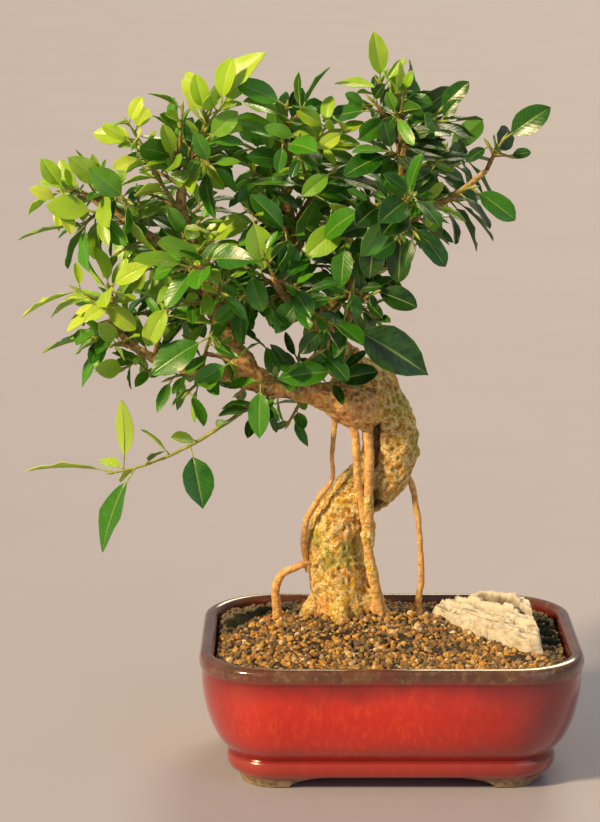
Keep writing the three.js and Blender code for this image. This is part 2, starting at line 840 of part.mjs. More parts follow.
// A slab of rock with a flat underside and long ridges that run beside its straight front
function makeRock() {
  const ball = new THREE.IcosahedronGeometry(1, 3).deleteAttribute("normal").deleteAttribute("uv");
  const geometry = mergeVertices(ball);
  const position = geometry.getAttribute("position");
  const random = randomFrom(11);
  for (let i = 0; i < position.count; i++) {
    const [u, v, w] = [position.getX(i), position.getY(i), position.getZ(i)];
    const reach = rockReach(Math.atan2(v, u)) * (1 + (random() - 0.5) * ROCK.rough);
    const [x, y] = [u * reach, v * reach];
    const across = x * ROCK_FRONT[0] + y * ROCK_FRONT[1];
    const wide = ROCK_RIDGES.wide * Math.sin(across / ROCK_RIDGES.wideEvery);
    const narrow = ROCK_RIDGES.narrow * Math.sin(across / ROCK_RIDGES.narrowEvery + x / 14);
    const upper = ROCK.height * Math.max(w, 0) ** 0.6 + (wide + narrow) * Math.min(3 * w, 1) + ROCK.buried;
    position.setXYZ(i, x, y, w > 0 ? upper : ROCK.buried * Math.max(1 + w, 0));
  }
  return geometry.translate(ROCK.x, ROCK.y, ROCK.z);
}

function ringAbout(centre, direction, radius, sides) {
  const level = Math.abs(direction.z) > 0.9 ? new THREE.Vector3(1, 0, 0) : UP;
  const across = new THREE.Vector3().crossVectors(direction, level).normalize();
  const over = new THREE.Vector3().crossVectors(direction, across);
  return Array.from({ length: sides }, (_, k) => {
    const angle = (2 * Math.PI * k) / sides;
    return centre
      .clone()
      .addScaledVector(across, Math.cos(angle) * radius)
      .addScaledVector(over, Math.sin(angle) * radius);
  });
}

// A round tube along a row of centres. Each ring starts beside the start of the one before it.
function tube(centres, radii, sides) {
  const rings = [];
  centres.forEach((centre, i) => {
    const before = centres[Math.max(i - 1, 0)];
    const after = centres[Math.min(i + 1, centres.length - 1)];
    const direction = new THREE.Vector3().subVectors(after, before).normalize();
    const ring = ringAbout(centre, direction, radii[i], sides);
    rings.push(i > 0 ? startedBy(ring, rings[i - 1]) : ring);
  });
  return toSolid(loft(rings));
}

// The centre and radius of a limb at a share of its number of steps
function limbAt(limb, share) {
  const { route } = WOOD[limb];
  const place = Math.min(share, 0.99999) * (route.length - 1);
  const [i, part] = [Math.floor(place), place - Math.floor(place)];
  const mixed = route[i].map((value, k) => value + (route[i + 1][k] - value) * part);
  return { centre: new THREE.Vector3(...mixed.slice(0, 3)), radius: mixed[3] };
}

// Where a shoot's twigs run: the first from the middle of its limb, the rest from a fork in the first
function twigsOf(shoot) {
  const bowed = (from, { to, sag }) => {
    const end = new THREE.Vector3(...to);
    const middle = from.clone().lerp(end, 0.5);
    middle.z += sag ?? TWIG.bow * from.distanceTo(end);
    return new THREE.QuadraticBezierCurve3(from, middle, end);
  };
  const [first, ...forks] = shoot.twigs;
  const main = bowed(limbAt(shoot.limb, shoot.at).centre, first);
  return [main, ...forks.map((twig) => bowed(main.getPoint(TWIG.forkAt), twig))];
}

function makeWood(grow) {
  const limbs = Object.values(WOOD).map(({ route, sides }) => {
    const centres = route.map(([x, y, z]) => new THREE.Vector3(x, y, z));
    return tube(centres, route.map(([, , , radius]) => radius + grow), sides);
  });
  return joined(limbs);
}

// A leaf's midrib from the twig to its tip, with the way its face and its edges lie
function leafOn(from, tip, slimness, facing) {
  const length = from.distanceTo(tip);
  const heading = tip.clone().sub(from).normalize();
  const side = new THREE.Vector3().crossVectors(heading, facing).normalize();
  const face = new THREE.Vector3().crossVectors(side, heading).normalize();
  const bend = from.clone().lerp(tip, 0.45).addScaledVector(face, LEAF.lift * length);
  const half = ((1 - LEAF.petiole) * length * slimness) / 2;
  const midrib = new THREE.QuadraticBezierCurve3(from, bend, tip);
  return { midrib, heading: midrib.getTangent(0), side, half, large: length > LEAF.large };
}

function leafFrame(leaf, share) {
  const centre = leaf.midrib.getPoint(share);
  const face = new THREE.Vector3().crossVectors(leaf.side, leaf.midrib.getTangent(share)).normalize();
  return { centre, face };
}

// How wide a blade is along its own length, as a share of its widest: a pointed oval
const BLADE = [
  [0.04, 0.12],
  [0.3, 0.93],
  [0.66, 0.9],
];
const LARGE_BLADE = [
  [0.04, 0.12],
  [0.24, 0.82],
  [0.53, 1],
  [0.8, 0.62],
];

function bladeWidth(share) {
  const points = [[0, 0], ...LARGE_BLADE, [1, 0]];
  const next = Math.max(points.findIndex(([s]) => s >= share), 1);
  const [[s0, w0], [s1, w1]] = [points[next - 1], points[next]];
  return w0 + ((w1 - w0) * (share - s0)) / (s1 - s0);
}

const alongLeaf = (share) => LEAF.petiole + (1 - LEAF.petiole) * share;

// Points spread over a leaf, by which leaves are kept off each other
function leafSamples(leaf) {
  const samples = [];
  for (let i = 0; i <= 11; i++) {
    const share = i / 11;
    const { centre, face } = leafFrame(leaf, alongLeaf(share));
    for (let j = -2; j <= 2; j++) {
      const out = (j / 2) * bladeWidth(share) * leaf.half;
      samples.push(
        centre
          .clone()
          .addScaledVector(leaf.side, out)
          .addScaledVector(face, Math.abs(out) * LEAF.fold),
      );
    }
  }
  return samples;
}

// Grows a stalk and blade out of a ring on its twig. They are three-sided: two raised edges and a keel below.
function growLeaf(faces, leaf, root) {
  let ring = root;
  for (const [share, width] of leaf.large ? LARGE_BLADE : BLADE) {
    const half = Math.max(width * leaf.half, LEAF.thick / 2);
    const { centre, face } = leafFrame(leaf, alongLeaf(share));
    const rise = Math.max(half * EDGE_RISE, LEAF.thick / 3);
    const edge = (sign) => centre.clone().addScaledVector(leaf.side, sign * half).addScaledVector(face, rise);
    const section = [edge(1), centre.clone().addScaledVector(face, -LEAF.thick / 2), edge(-1)];
    bridge(faces, ring === root ? startedBy(root, section) : ring, section);
    ring = section;
  }
  bridge(faces, ring, [leaf.midrib.getPoint(1)]);
}

// Grows a three-sided twig from a ring on what carries it, or from a closed end. A stalk or a side twig grows
// out of one of its faces, which the twig turns towards it, and one may grow on from its end.
function growTwig(faces, curve, base, growths, root) {
  const reach = TWIG.node / curve.getLength();
  const isLast = ({ share, heading }) => share > 1 - 2 * reach && heading.dot(curve.getTangent(1)) > 0.3;
  const last = growths.find(isLast);
  const across = new THREE.Vector3().crossVectors(curve.getTangent(0), ASLANT).normalize();
  let turn = 0;
  const frame = (share) => {
    const direction = curve.getTangent(share);
    across.addScaledVector(direction, -across.dot(direction)).normalize();
    return { direction, over: new THREE.Vector3().crossVectors(direction, across) };
  };
  const ringAt = (share) => {
    const { over } = frame(share);
    const radius = base + (TWIG.tip - base) * share;
    return [0, 1, 2].map((k) =>
      curve
        .getPoint(share)
        .addScaledVector(across, Math.cos(turn + (k * 2 * Math.PI) / 3) * radius)
        .addScaledVector(over, Math.sin(turn + (k * 2 * Math.PI) / 3) * radius),
    );
  };
  let ring = root;
  const extend = (next) => {
    if (ring) bridge(faces, ring.length === next.length ? ring : startedBy(ring, next), next);
    else closeStart(faces, next);
    ring = next;
  };
  if (!root) extend(ringAt(0));
  let free = 2 * reach;
  for (const growth of growths.filter((one) => one !== last).sort((a, b) => a.share - b.share)) {
    const share = Math.min(Math.max(growth.share, free), 1 - 1.5 * reach);
    const { over } = frame(share);
    const wanted = Math.atan2(growth.heading.dot(over), growth.heading.dot(across)) + Math.PI / 3;
    const steps = Math.round((turn - wanted) / ((2 * Math.PI) / 3));
    turn = wanted + (steps * 2 * Math.PI) / 3;
    const open = (((-steps - 1) % 3) + 3) % 3;
    const low = ringAt(share - reach);
    const high = ringAt(share + reach);
    extend(low);
    for (const j of [0, 1, 2]) {
      const [a, b, c, d] = [low[j], low[(j + 1) % 3], high[(j + 1) % 3], high[j]];
      if (j === open) growth.grow([a, b, c, d]);
      else faces.push([a, b, c], [a, c, d]);
    }
    ring = high;
    free = share + 3 * reach;
  }
  extend(ringAt(1));
  if (last) last.grow(ring);
  else closeEnd(faces, ring);
}

function crowd(samples) {
  const sphere = new THREE.Sphere().setFromPoints(samples);
  return { samples, centre: sphere.center, radius: sphere.radius };
}

function tooClose(group, others, clear) {
  return others.some(
    (other) =>
      group.centre.distanceTo(other.centre) < group.radius + other.radius + clear &&
      group.samples.some((a) => other.samples.some((b) => a.distanceToSquared(b) < clear * clear)),
  );
}

// The way a leaf's face turns: upwards, and away from the middle of the crown
function facingAt(point, random) {
  const away = point.clone().sub(CROWN_CENTRE).setZ(0);
  if (away.length() > 1) away.normalize();
  return new THREE.Vector3((random() - 0.5) * 0.7, (random() - 0.5) * 0.7, 0.5)
    .addScaledVector(away, 0.7)
    .normalize();
}

// Leaves set by hand turn their faces to the viewer, unless they lie level
function leadFacing(twig, random, spread) {
  const facing = new THREE.Vector3((random() - 0.5) * spread, twig.level ? 0.1 : -0.8, twig.level ? 1 : 0.4);
  facing.y += (random() - 0.5) * (spread - 0.6);
  facing.z += (random() - 0.5) * (spread - 0.6);
  return facing.normalize();
}

// The leaf that the spiral rule sets at a share of a twig, turned on a little at each further try
function ruleLeaf(curve, share, lengthen, turn, facing, droop) {
  const from = curve.getPoint(share);
  const tangent = curve.getTangent(share);
  const across = new THREE.Vector3().crossVectors(tangent, UP).normalize();
  const over = new THREE.Vector3().crossVectors(across, tangent).normalize();
  const heading = tangent
    .clone()
    .multiplyScalar(0.75)
    .addScaledVector(across, Math.cos(turn))
    .addScaledVector(over, Math.sin(turn) * 0.8)
    .normalize();
  heading.z -= droop;
  const tip = from.clone().addScaledVector(heading.normalize(), LEAF.length * lengthen);
  return leafOn(from, tip, LEAF.slimness, facing);
}

// Places every leaf: those set by hand first, then those that follow the spiral rule round each twig. A leaf
// that would touch wood or another leaf is turned and tried again.
function placeLeaves(curves) {
  const wood = Object.keys(WOOD)
    .filter((limb) => !BURIED.includes(limb))
    .flatMap((limb) => {
      const steps = 12 * (WOOD[limb].route.length - 1);
      return Array.from({ length: steps + 1 }, (_, i) => limbAt(limb, i / steps));
    });
  const pointsOn = (curve) => curve.getPoints(Math.ceil(curve.getLength() / 2));
  const twigPoints = curves.map((twigs) => twigs.flatMap(pointsOn));
  const twigCrowds = twigPoints.map(crowd);
  const placed = [];
  const fits = (leaf, owner, clear) => {
    const samples = leafSamples(leaf);
    const from = leaf.midrib.v0;
    const own = twigPoints[owner].filter((point) => point.distanceTo(from) > OWN_TWIG.reach);
    return (
      !tooClose(crowd(samples), placed, clear) &&
      !tooClose(crowd(samples), twigCrowds.filter((_, i) => i !== owner), clear) &&
      !samples.some((a) => own.some((b) => a.distanceTo(b) < OWN_TWIG.clear)) &&
      !samples.some((a) => wood.some(({ centre, radius }) => a.distanceTo(centre) < radius + WOOD_CLEAR))
    );
  };
  const crosses = (leaf, owner) => crossesItself(growShoot(curves[owner], [...leavesOf[owner], leaf]));
  const leavesOf = SHOOTS.map(() => []);
  const add = (leaf, owner) => {
    placed.push(crowd(leafSamples(leaf)));
    leavesOf[owner].push(leaf);
  };
  SHOOTS.forEach((shoot, owner) => {
    const random = randomFrom(owner + 101);
    shoot.twigs.forEach((twig, i) => {
      const tips = [...(twig.lead ? [[1, ...twig.lead]] : []), ...(twig.side ?? [])];
      for (const [share, ...tip] of tips) {
        const from = curves[owner][i].getPoint(share);
        const choices = Array.from({ length: TRIES }, (_, k) => {
          const facing = leadFacing(twig, random, 0.6 + 0.12 * k);
          return { ...leafOn(from, new THREE.Vector3(...tip), LEAF.slimness, facing), twig: i, share };
        }).filter((leaf) => !crosses(leaf, owner));
        add(choices.find((leaf) => fits(leaf, owner, LEAD_CLEAR)) ?? choices[0], owner);
      }
    });
  });
  SHOOTS.forEach((shoot, owner) => {
    const random = randomFrom(owner + 1);
    shoot.twigs.forEach((twig, i) => {
      const curve = curves[owner][i];
      const first = i === 0 ? TWIG.bareShare : TWIG.bareShare / 2;
      for (let k = 0; k < twig.leaves; k++) {
        const share = 1 - (1 - first) * ((k + (twig.lead ? 0.8 : 0)) / twig.leaves);
        const facing = facingAt(curve.getPoint(share), random);
        const lengthen = (0.86 + 0.36 * random()) * (shoot.young ? 0.9 : 1);
        const droop = 0.1 + 0.45 * random();
        const turn = 2.4 * k + 6.28 * random();
        for (let attempt = 0; attempt < TRIES; attempt++) {
          const size = lengthen * (1 - 0.03 * attempt);
          const shape = ruleLeaf(curve, share, size, turn + 1.1 * attempt, facing, droop);
          const leaf = { ...shape, twig: i, share };
          if (fits(leaf, owner, LEAF_CLEAR) && !crosses(leaf, owner)) {
            add(leaf, owner);
            break;
          }
        }
      }
    });
  });
  return leavesOf;
}

// Whether any two faces that have no edge in common cross each other
function crossesItself(faces) {
  const boxes = faces.map((face) => new THREE.Box3().setFromPoints(face));
  const pierces = (edges, face) =>
    edges.some(([from, to]) => {
      if (face.includes(from) || face.includes(to)) return false;
      const ray = new THREE.Ray(from, to.clone().sub(from).normalize());
      const hit = ray.intersectTriangle(...face, false, new THREE.Vector3());
      return hit !== null && hit.distanceTo(from) < to.distanceTo(from);
    });
  const edgesOf = ([a, b, c]) => [[a, b], [b, c], [c, a]];
  return faces.some((one, i) =>
    faces.slice(i + 1).some((other, k) => {
      if (!boxes[i].intersectsBox(boxes[i + 1 + k])) return false;
      return pierces(edgesOf(one), other) || pierces(edgesOf(other), one);
    }),
  );
}

// The skin of a shoot's twigs with some of its leaves
function growShoot(curves, leaves) {
  const faces = [];
  const growthOf = (leaf) => ({
    share: leaf.share,
    heading: leaf.heading,
    grow: (root) => growLeaf(faces, leaf, root),
  });
  const leafGrowths = (i) => leaves.filter((leaf) => leaf.twig === i).map(growthOf);
  const forks = curves.slice(1).map((curve, i) => ({
    share: TWIG.forkAt,
    heading: curve.getTangent(0),
    grow: (root) => growTwig(faces, curve, (TWIG.base + TWIG.tip) / 2, leafGrowths(i + 1), root),
  }));
  growTwig(faces, curves[0], TWIG.base, [...leafGrowths(0), ...forks]);
  return faces;
}

// Twigs and leaves in one body, which ends just off the limb that it grows from
function makeSpray(curves, leaves, limbs) {
  return mainBody(toSolid(skin(growShoot(curves, leaves))).subtract(limbs));
}

const material = (name) => new THREE.MeshStandardMaterial({ metalness: 0, ...COLOURS[name] });

const plant = new THREE.Group();

function addPiece(name, geometry, look) {
  const mesh = new THREE.Mesh(geometry, material(look));
  mesh.name = name;
  plant.add(mesh);
}

const curves = SHOOTS.map(twigsOf);
addPiece("pot", toGeometry(makePot()), "pot");
addPiece("drain_screen_left", makeScreen(-1), "screen");
addPiece("drain_screen_right", makeScreen(1), "screen");
const roomForWood = makeWood(GAP);
addPiece("soil", toGeometry(makeSoil(roomForWood)), "soil");
addPiece("rock", makeRock(), "rock");
addPiece("trunk", toGeometry(mainBody(makeWood(0))), "bark");
placeLeaves(curves).forEach((leaves, i) => {
  const spray = toGeometry(makeSpray(curves[i], leaves, roomForWood));
  const look = SHOOTS[i].young ? "youngLeaf" : "leaf";
  addPiece(`spray_${String(i + 1).padStart(2, "0")}`, spray, look);
});

// The part's own origin is the middle of its footprint, on the table
const footprint = new THREE.Box3().setFromObject(plant);
plant.position.set(-(footprint.min.x + footprint.max.x) / 2, -(footprint.min.y + footprint.max.y) / 2, 0);

const bonsai = new THREE.Group();
bonsai.add(plant);
export default bonsai;
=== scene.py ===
"""The looks of a Chinese banyan fig bonsai in a red glazed pot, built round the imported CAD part.

Lengths are worked out in millimetres about the middle of the pot, with x to the viewer's right, y away from
the viewer and z up from the table, and become metres in the part's own frame when a piece is made.
"""

import logging
import math
from dataclasses import dataclass, field
from enum import Enum

import bmesh
import bpy
import numpy as np
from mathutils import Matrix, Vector
from mathutils.bvhtree import BVHTree
from mathutils.kdtree import KDTree


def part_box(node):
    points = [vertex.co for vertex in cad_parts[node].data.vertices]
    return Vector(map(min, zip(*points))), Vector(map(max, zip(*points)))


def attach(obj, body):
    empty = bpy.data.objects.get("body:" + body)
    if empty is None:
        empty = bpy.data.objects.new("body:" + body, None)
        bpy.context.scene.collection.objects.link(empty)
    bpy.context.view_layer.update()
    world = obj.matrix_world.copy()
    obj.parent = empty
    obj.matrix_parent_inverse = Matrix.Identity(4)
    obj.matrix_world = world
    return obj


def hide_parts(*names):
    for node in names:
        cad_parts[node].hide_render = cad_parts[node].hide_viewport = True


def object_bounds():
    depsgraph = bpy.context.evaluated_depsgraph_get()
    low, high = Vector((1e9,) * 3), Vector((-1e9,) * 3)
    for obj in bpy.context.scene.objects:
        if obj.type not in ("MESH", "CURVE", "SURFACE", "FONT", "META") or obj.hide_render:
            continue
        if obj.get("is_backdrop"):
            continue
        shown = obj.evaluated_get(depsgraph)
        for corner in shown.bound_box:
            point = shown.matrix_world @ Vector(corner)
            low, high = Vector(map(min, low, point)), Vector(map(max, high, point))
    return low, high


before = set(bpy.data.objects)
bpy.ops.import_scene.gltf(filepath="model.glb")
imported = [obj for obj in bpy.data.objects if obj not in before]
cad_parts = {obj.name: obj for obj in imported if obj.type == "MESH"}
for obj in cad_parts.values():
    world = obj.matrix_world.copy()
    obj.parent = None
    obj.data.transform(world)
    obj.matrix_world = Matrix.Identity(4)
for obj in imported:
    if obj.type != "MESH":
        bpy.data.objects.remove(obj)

CAD_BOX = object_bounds()
LOG = logging.getLogger("bonsai")
MM = 0.001
POT_LOW, POT_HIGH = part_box("pot")
POT_MIDDLE = np.array([(POT_LOW.x + POT_HIGH.x) / 2, (POT_LOW.y + POT_HIGH.y) / 2, 0.0])

Array = np.ndarray
Socket = bpy.types.NodeSocket
Number = Socket | float
Tint = Socket | str


class Slot(Enum):
    """The record's material slots, one passed with each new piece."""

    GLAZE = "glaze"
    SOIL = "soil"
    ROCK = "rock"
    BARK = "bark"
    LEAF = "leaf"
    YOUNG_LEAF = "young_leaf"


class Age(Enum):
    """How old the growth of a shoot is, which sets the green of its leaves."""

    MATURE = "mature"
    YOUNG = "young"


# ---------------------------------------------------------------------------------------------- numbers


def unit(vectors: Array) -> Array:
    """Vectors of length one that point the same way."""
    return vectors / np.maximum(np.linalg.norm(vectors, axis=-1, keepdims=True), 1e-9)


def ease(values: Array, low: float, high: float) -> Array:
    """A smooth step from 0 at low to 1 at high."""
    share = np.clip((np.asarray(values, float) - low) / (high - low), 0, 1)
    return share * share * (3 - 2 * share)


def lumps(points: Array, size: float | Array, seed: int = 0) -> Array:
    """Smooth random relief.

    Args:
        points: Places in millimetres, one to a row.
        size: How far apart the lumps lie, in millimetres, the same each way or one size for each axis.
        seed: Another relief for another seed.

    Returns:
        One value in [-1, 1] for each point.
    """
    place = np.asarray(points, float) / size + seed * 17.13
    cell = np.floor(place).astype(np.int64)
    part = place - cell
    part = part * part * (3 - 2 * part)
    total = np.zeros(place.shape[:-1])
    for corner in np.ndindex(2, 2, 2):
        at = cell + corner
        mixed = (at[..., 0] * 73856093) ^ (at[..., 1] * 19349663) ^ (at[..., 2] * 83492791)
        mixed = ((mixed ^ (mixed >> 13)) * 1274126177) & 0xFFFFFFFF
        mixed = ((mixed ^ (mixed >> 15)) * 668265263) & 0xFFFFFFFF
        value = ((mixed ^ (mixed >> 16)) & 0xFFFF) / 32767.5 - 1
        share = np.prod(np.where(corner, part, 1 - part), axis=-1)
        total += value * share
    return total


def smooth_route(route: Array, step: float) -> Array:
    """Resamples a route through its points with a smooth curve.

    Args:
        route: Rows of x, y, z and radius.
        step: The spacing of the new rows in millimetres.

    Returns:
        More rows of x, y, z and radius along the same way.
    """
    route = np.asarray(route, float)
    padded = np.vstack([2 * route[0] - route[1], route, 2 * route[-1] - route[-2]])
    rows = []
    for a, b, c, d in zip(padded, padded[1:], padded[2:], padded[3:]):
        count = max(int(np.ceil(np.linalg.norm((c - b)[:3]) / step)), 1)
        for t in np.arange(count) / count:
            rows.append(b + 0.5 * t * (c - a + t * (2 * a - 5 * b + 4 * c - d + t * (3 * (b - c) + d - a))))
    rows.append(route[-1])
    rows = np.array(rows)
    rows[:, 3] = np.maximum(rows[:, 3], route[:, 3].min())
    return rows


def bezier(start: Array, bend: Array, end: Array, share: Array) -> tuple[Array, Array]:
    """Points and directions on quadratic curves.

    Args:
        start: Where the curves start.
        bend: Their control points.
        end: Where they end.
        share: Shares of the way along, as an array whose last axis is one.

    Returns:
        The points and the unit directions there.
    """
    point = (1 - share) ** 2 * start + 2 * share * (1 - share) * bend + share**2 * end
    return point, unit((1 - share) * (bend - start) + share * (end - bend))


# ----------------------------------------------------------------------------------------------- meshes


class Shape:
    """Points and faces of one piece, collected part by part."""

    def __init__(self) -> None:
        self.points: list[Array] = []
        self.faces: list[Array] = []
        self.values: dict[str, list[Array]] = {}
        self.count = 0

    def add(self, points: Array, *faces: Array, **values: Array | float) -> None:
        """Adds one part.

        Args:
            points: Its points in millimetres, one to a row.
            faces: Arrays of corner numbers within the part, one face to a row.
            values: Named values of the surface, one for the part or one for each point.
        """
        points = np.asarray(points, float).reshape(-1, 3)
        self.points.append(points)
        self.faces += [np.asarray(group, np.int64) + self.count for group in faces if len(group)]
        for name, value in values.items():
            spread = np.broadcast_to(np.asarray(value, float), (len(points),))
            self.values.setdefault(name, []).append(spread)
        self.count += len(points)

    def build(self, name: str, crease: float | None = None) -> bpy.types.Object:
        """Makes the piece's object, in metres in the part's frame.

        Args:
            name: The piece's name.
            crease: Edges sharper than this many degrees stay sharp. All are soft without it.

        Returns:
            The new object, linked to the scene.
        """
        mesh = bpy.data.meshes.new(name)
        places = np.vstack(self.points) * MM + POT_MIDDLE
        mesh.vertices.add(len(places))
        mesh.vertices.foreach_set("co", places.astype(np.float32).ravel())
        corners = np.concatenate([group.ravel() for group in self.faces])
        sizes = np.concatenate([np.full(len(group), group.shape[1]) for group in self.faces])
        mesh.loops.add(len(corners))
        mesh.loops.foreach_set("vertex_index", corners.astype(np.int32))
        mesh.polygons.add(len(sizes))
        starts = np.concatenate([[0], np.cumsum(sizes)[:-1]])
        mesh.polygons.foreach_set("loop_start", starts.astype(np.int32))
        mesh.update(calc_edges=True)
        mesh.validate()
        paint(mesh, {label: np.concatenate(parts) for label, parts in self.values.items()})
        mesh.shade_smooth()
        if crease is not None:
            mesh.set_sharp_from_angle(angle=math.radians(crease))
        piece = bpy.data.objects.new(name, mesh)
        bpy.context.scene.collection.objects.link(piece)
        return piece


def paint(mesh: bpy.types.Mesh, values: dict[str, Array]) -> None:
    """Gives a mesh named values, one for each point."""
    for label, value in values.items():
        mesh.attributes.new(label, "FLOAT", "POINT").data.foreach_set("value", value.astype(np.float32))


def grid_faces(rows: int, around: int, closed: bool = True) -> Array:
    """Four-sided faces between rows of points.

    Args:
        rows: How many rows there are.
        around: How many points a row has.
        closed: Whether each row is a closed ring.

    Returns:
        Corner numbers, with the faces outward for rings that run counter-clockwise seen from the last row.
    """
    row, step = np.meshgrid(np.arange(rows - 1), np.arange(around if closed else around - 1), indexing="ij")
    after = (step + 1) % around
    low, high = row * around, (row + 1) * around
    return np.stack([low + step, low + after, high + after, high + step], -1).reshape(-1, 4)


def skin_faces(rows: int, around: int) -> tuple[Array, Array, Array]:
    """Faces of a closed skin of rings, with a middle point for the first ring and one for the last.

    Args:
        rows: How many rings there are.
        around: How many points a ring has.

    Returns:
        Corner numbers of the wall and the two ends. The middle points follow the rings.
    """
    count, step = rows * around, np.arange(around)
    after = (step + 1) % around
    start = np.stack([after, step, np.full(around, count)], -1)
    end = np.stack([step, after, np.full(around, around + 1)], -1) + count - around
    return grid_faces(rows, around), start, end


def add_tube(shape: Shape, path: Array, radii: Array, sides: int, **values: Array | float) -> None:
    """Adds a closed round tube.

    Args:
        shape: The shape that it goes into.
        path: Its middle line, one point to a row.
        radii: Its radius at each of them, for the whole ring or for each point of the ring.
        sides: How many points a ring has.
        values: Named values, one for the tube or one for each point of the path.
    """
    along = unit(np.gradient(path, axis=0))
    across = np.empty_like(along)
    start = np.array([0.31, 0.2, 0.93]) if abs(along[0, 2]) < 0.8 else np.array([1.0, 0.1, 0.05])
    across[0] = unit(start - along[0] * (start @ along[0]))
    for i in range(1, len(along)):
        across[i] = unit(across[i - 1] - along[i] * (across[i - 1] @ along[i]))
    over = np.cross(along, across)
    turn = 2 * np.pi * np.arange(sides) / sides
    spokes = np.cos(turn)[:, None] * across[:, None] + np.sin(turn)[:, None] * over[:, None]
    radii = np.asarray(radii, float)
    rings = path[:, None] + spokes * (radii[:, None, None] if radii.ndim == 1 else radii[..., None])
    points = np.vstack([rings.reshape(-1, 3), path[0], path[-1]])
    spread = {}
    for name, value in values.items():
        value = np.broadcast_to(np.asarray(value, float), (len(path),))
        spread[name] = np.concatenate([np.repeat(value, sides), value[[0, -1]]])
    shape.add(points, *skin_faces(len(path), sides), **spread)


def ball(times: int) -> tuple[Array, Array]:
    """A ball of radius one made of small triangles.

    Args:
        times: How often the faces of an icosahedron are split.

    Returns:
        Its points and its faces.
    """
    mesh = bmesh.new()
    bmesh.ops.create_icosphere(mesh, subdivisions=times, radius=1)
    points = np.array([vertex.co for vertex in mesh.verts])
    faces = np.array([[corner.index for corner in face.verts] for face in mesh.faces])
    mesh.free()
    return points, faces


def mesh_points(piece: bpy.types.Object) -> Array:
    """The points of a piece in millimetres about the pot's middle."""
    points = np.empty(len(piece.data.vertices) * 3, np.float32)
    piece.data.vertices.foreach_get("co", points)
    return (points.reshape(-1, 3).astype(float) - POT_MIDDLE) / MM


# -------------------------------------------------------------------------------------------- materials


def colour(code: str) -> tuple[float, float, float, float]:
    """The linear colour of a six-digit code."""
    parts = [int(code[i : i + 2], 16) / 255 for i in (0, 2, 4)]
    return (*[part / 12.92 if part <= 0.04045 else ((part + 0.055) / 1.055) ** 2.4 for part in parts], 1.0)


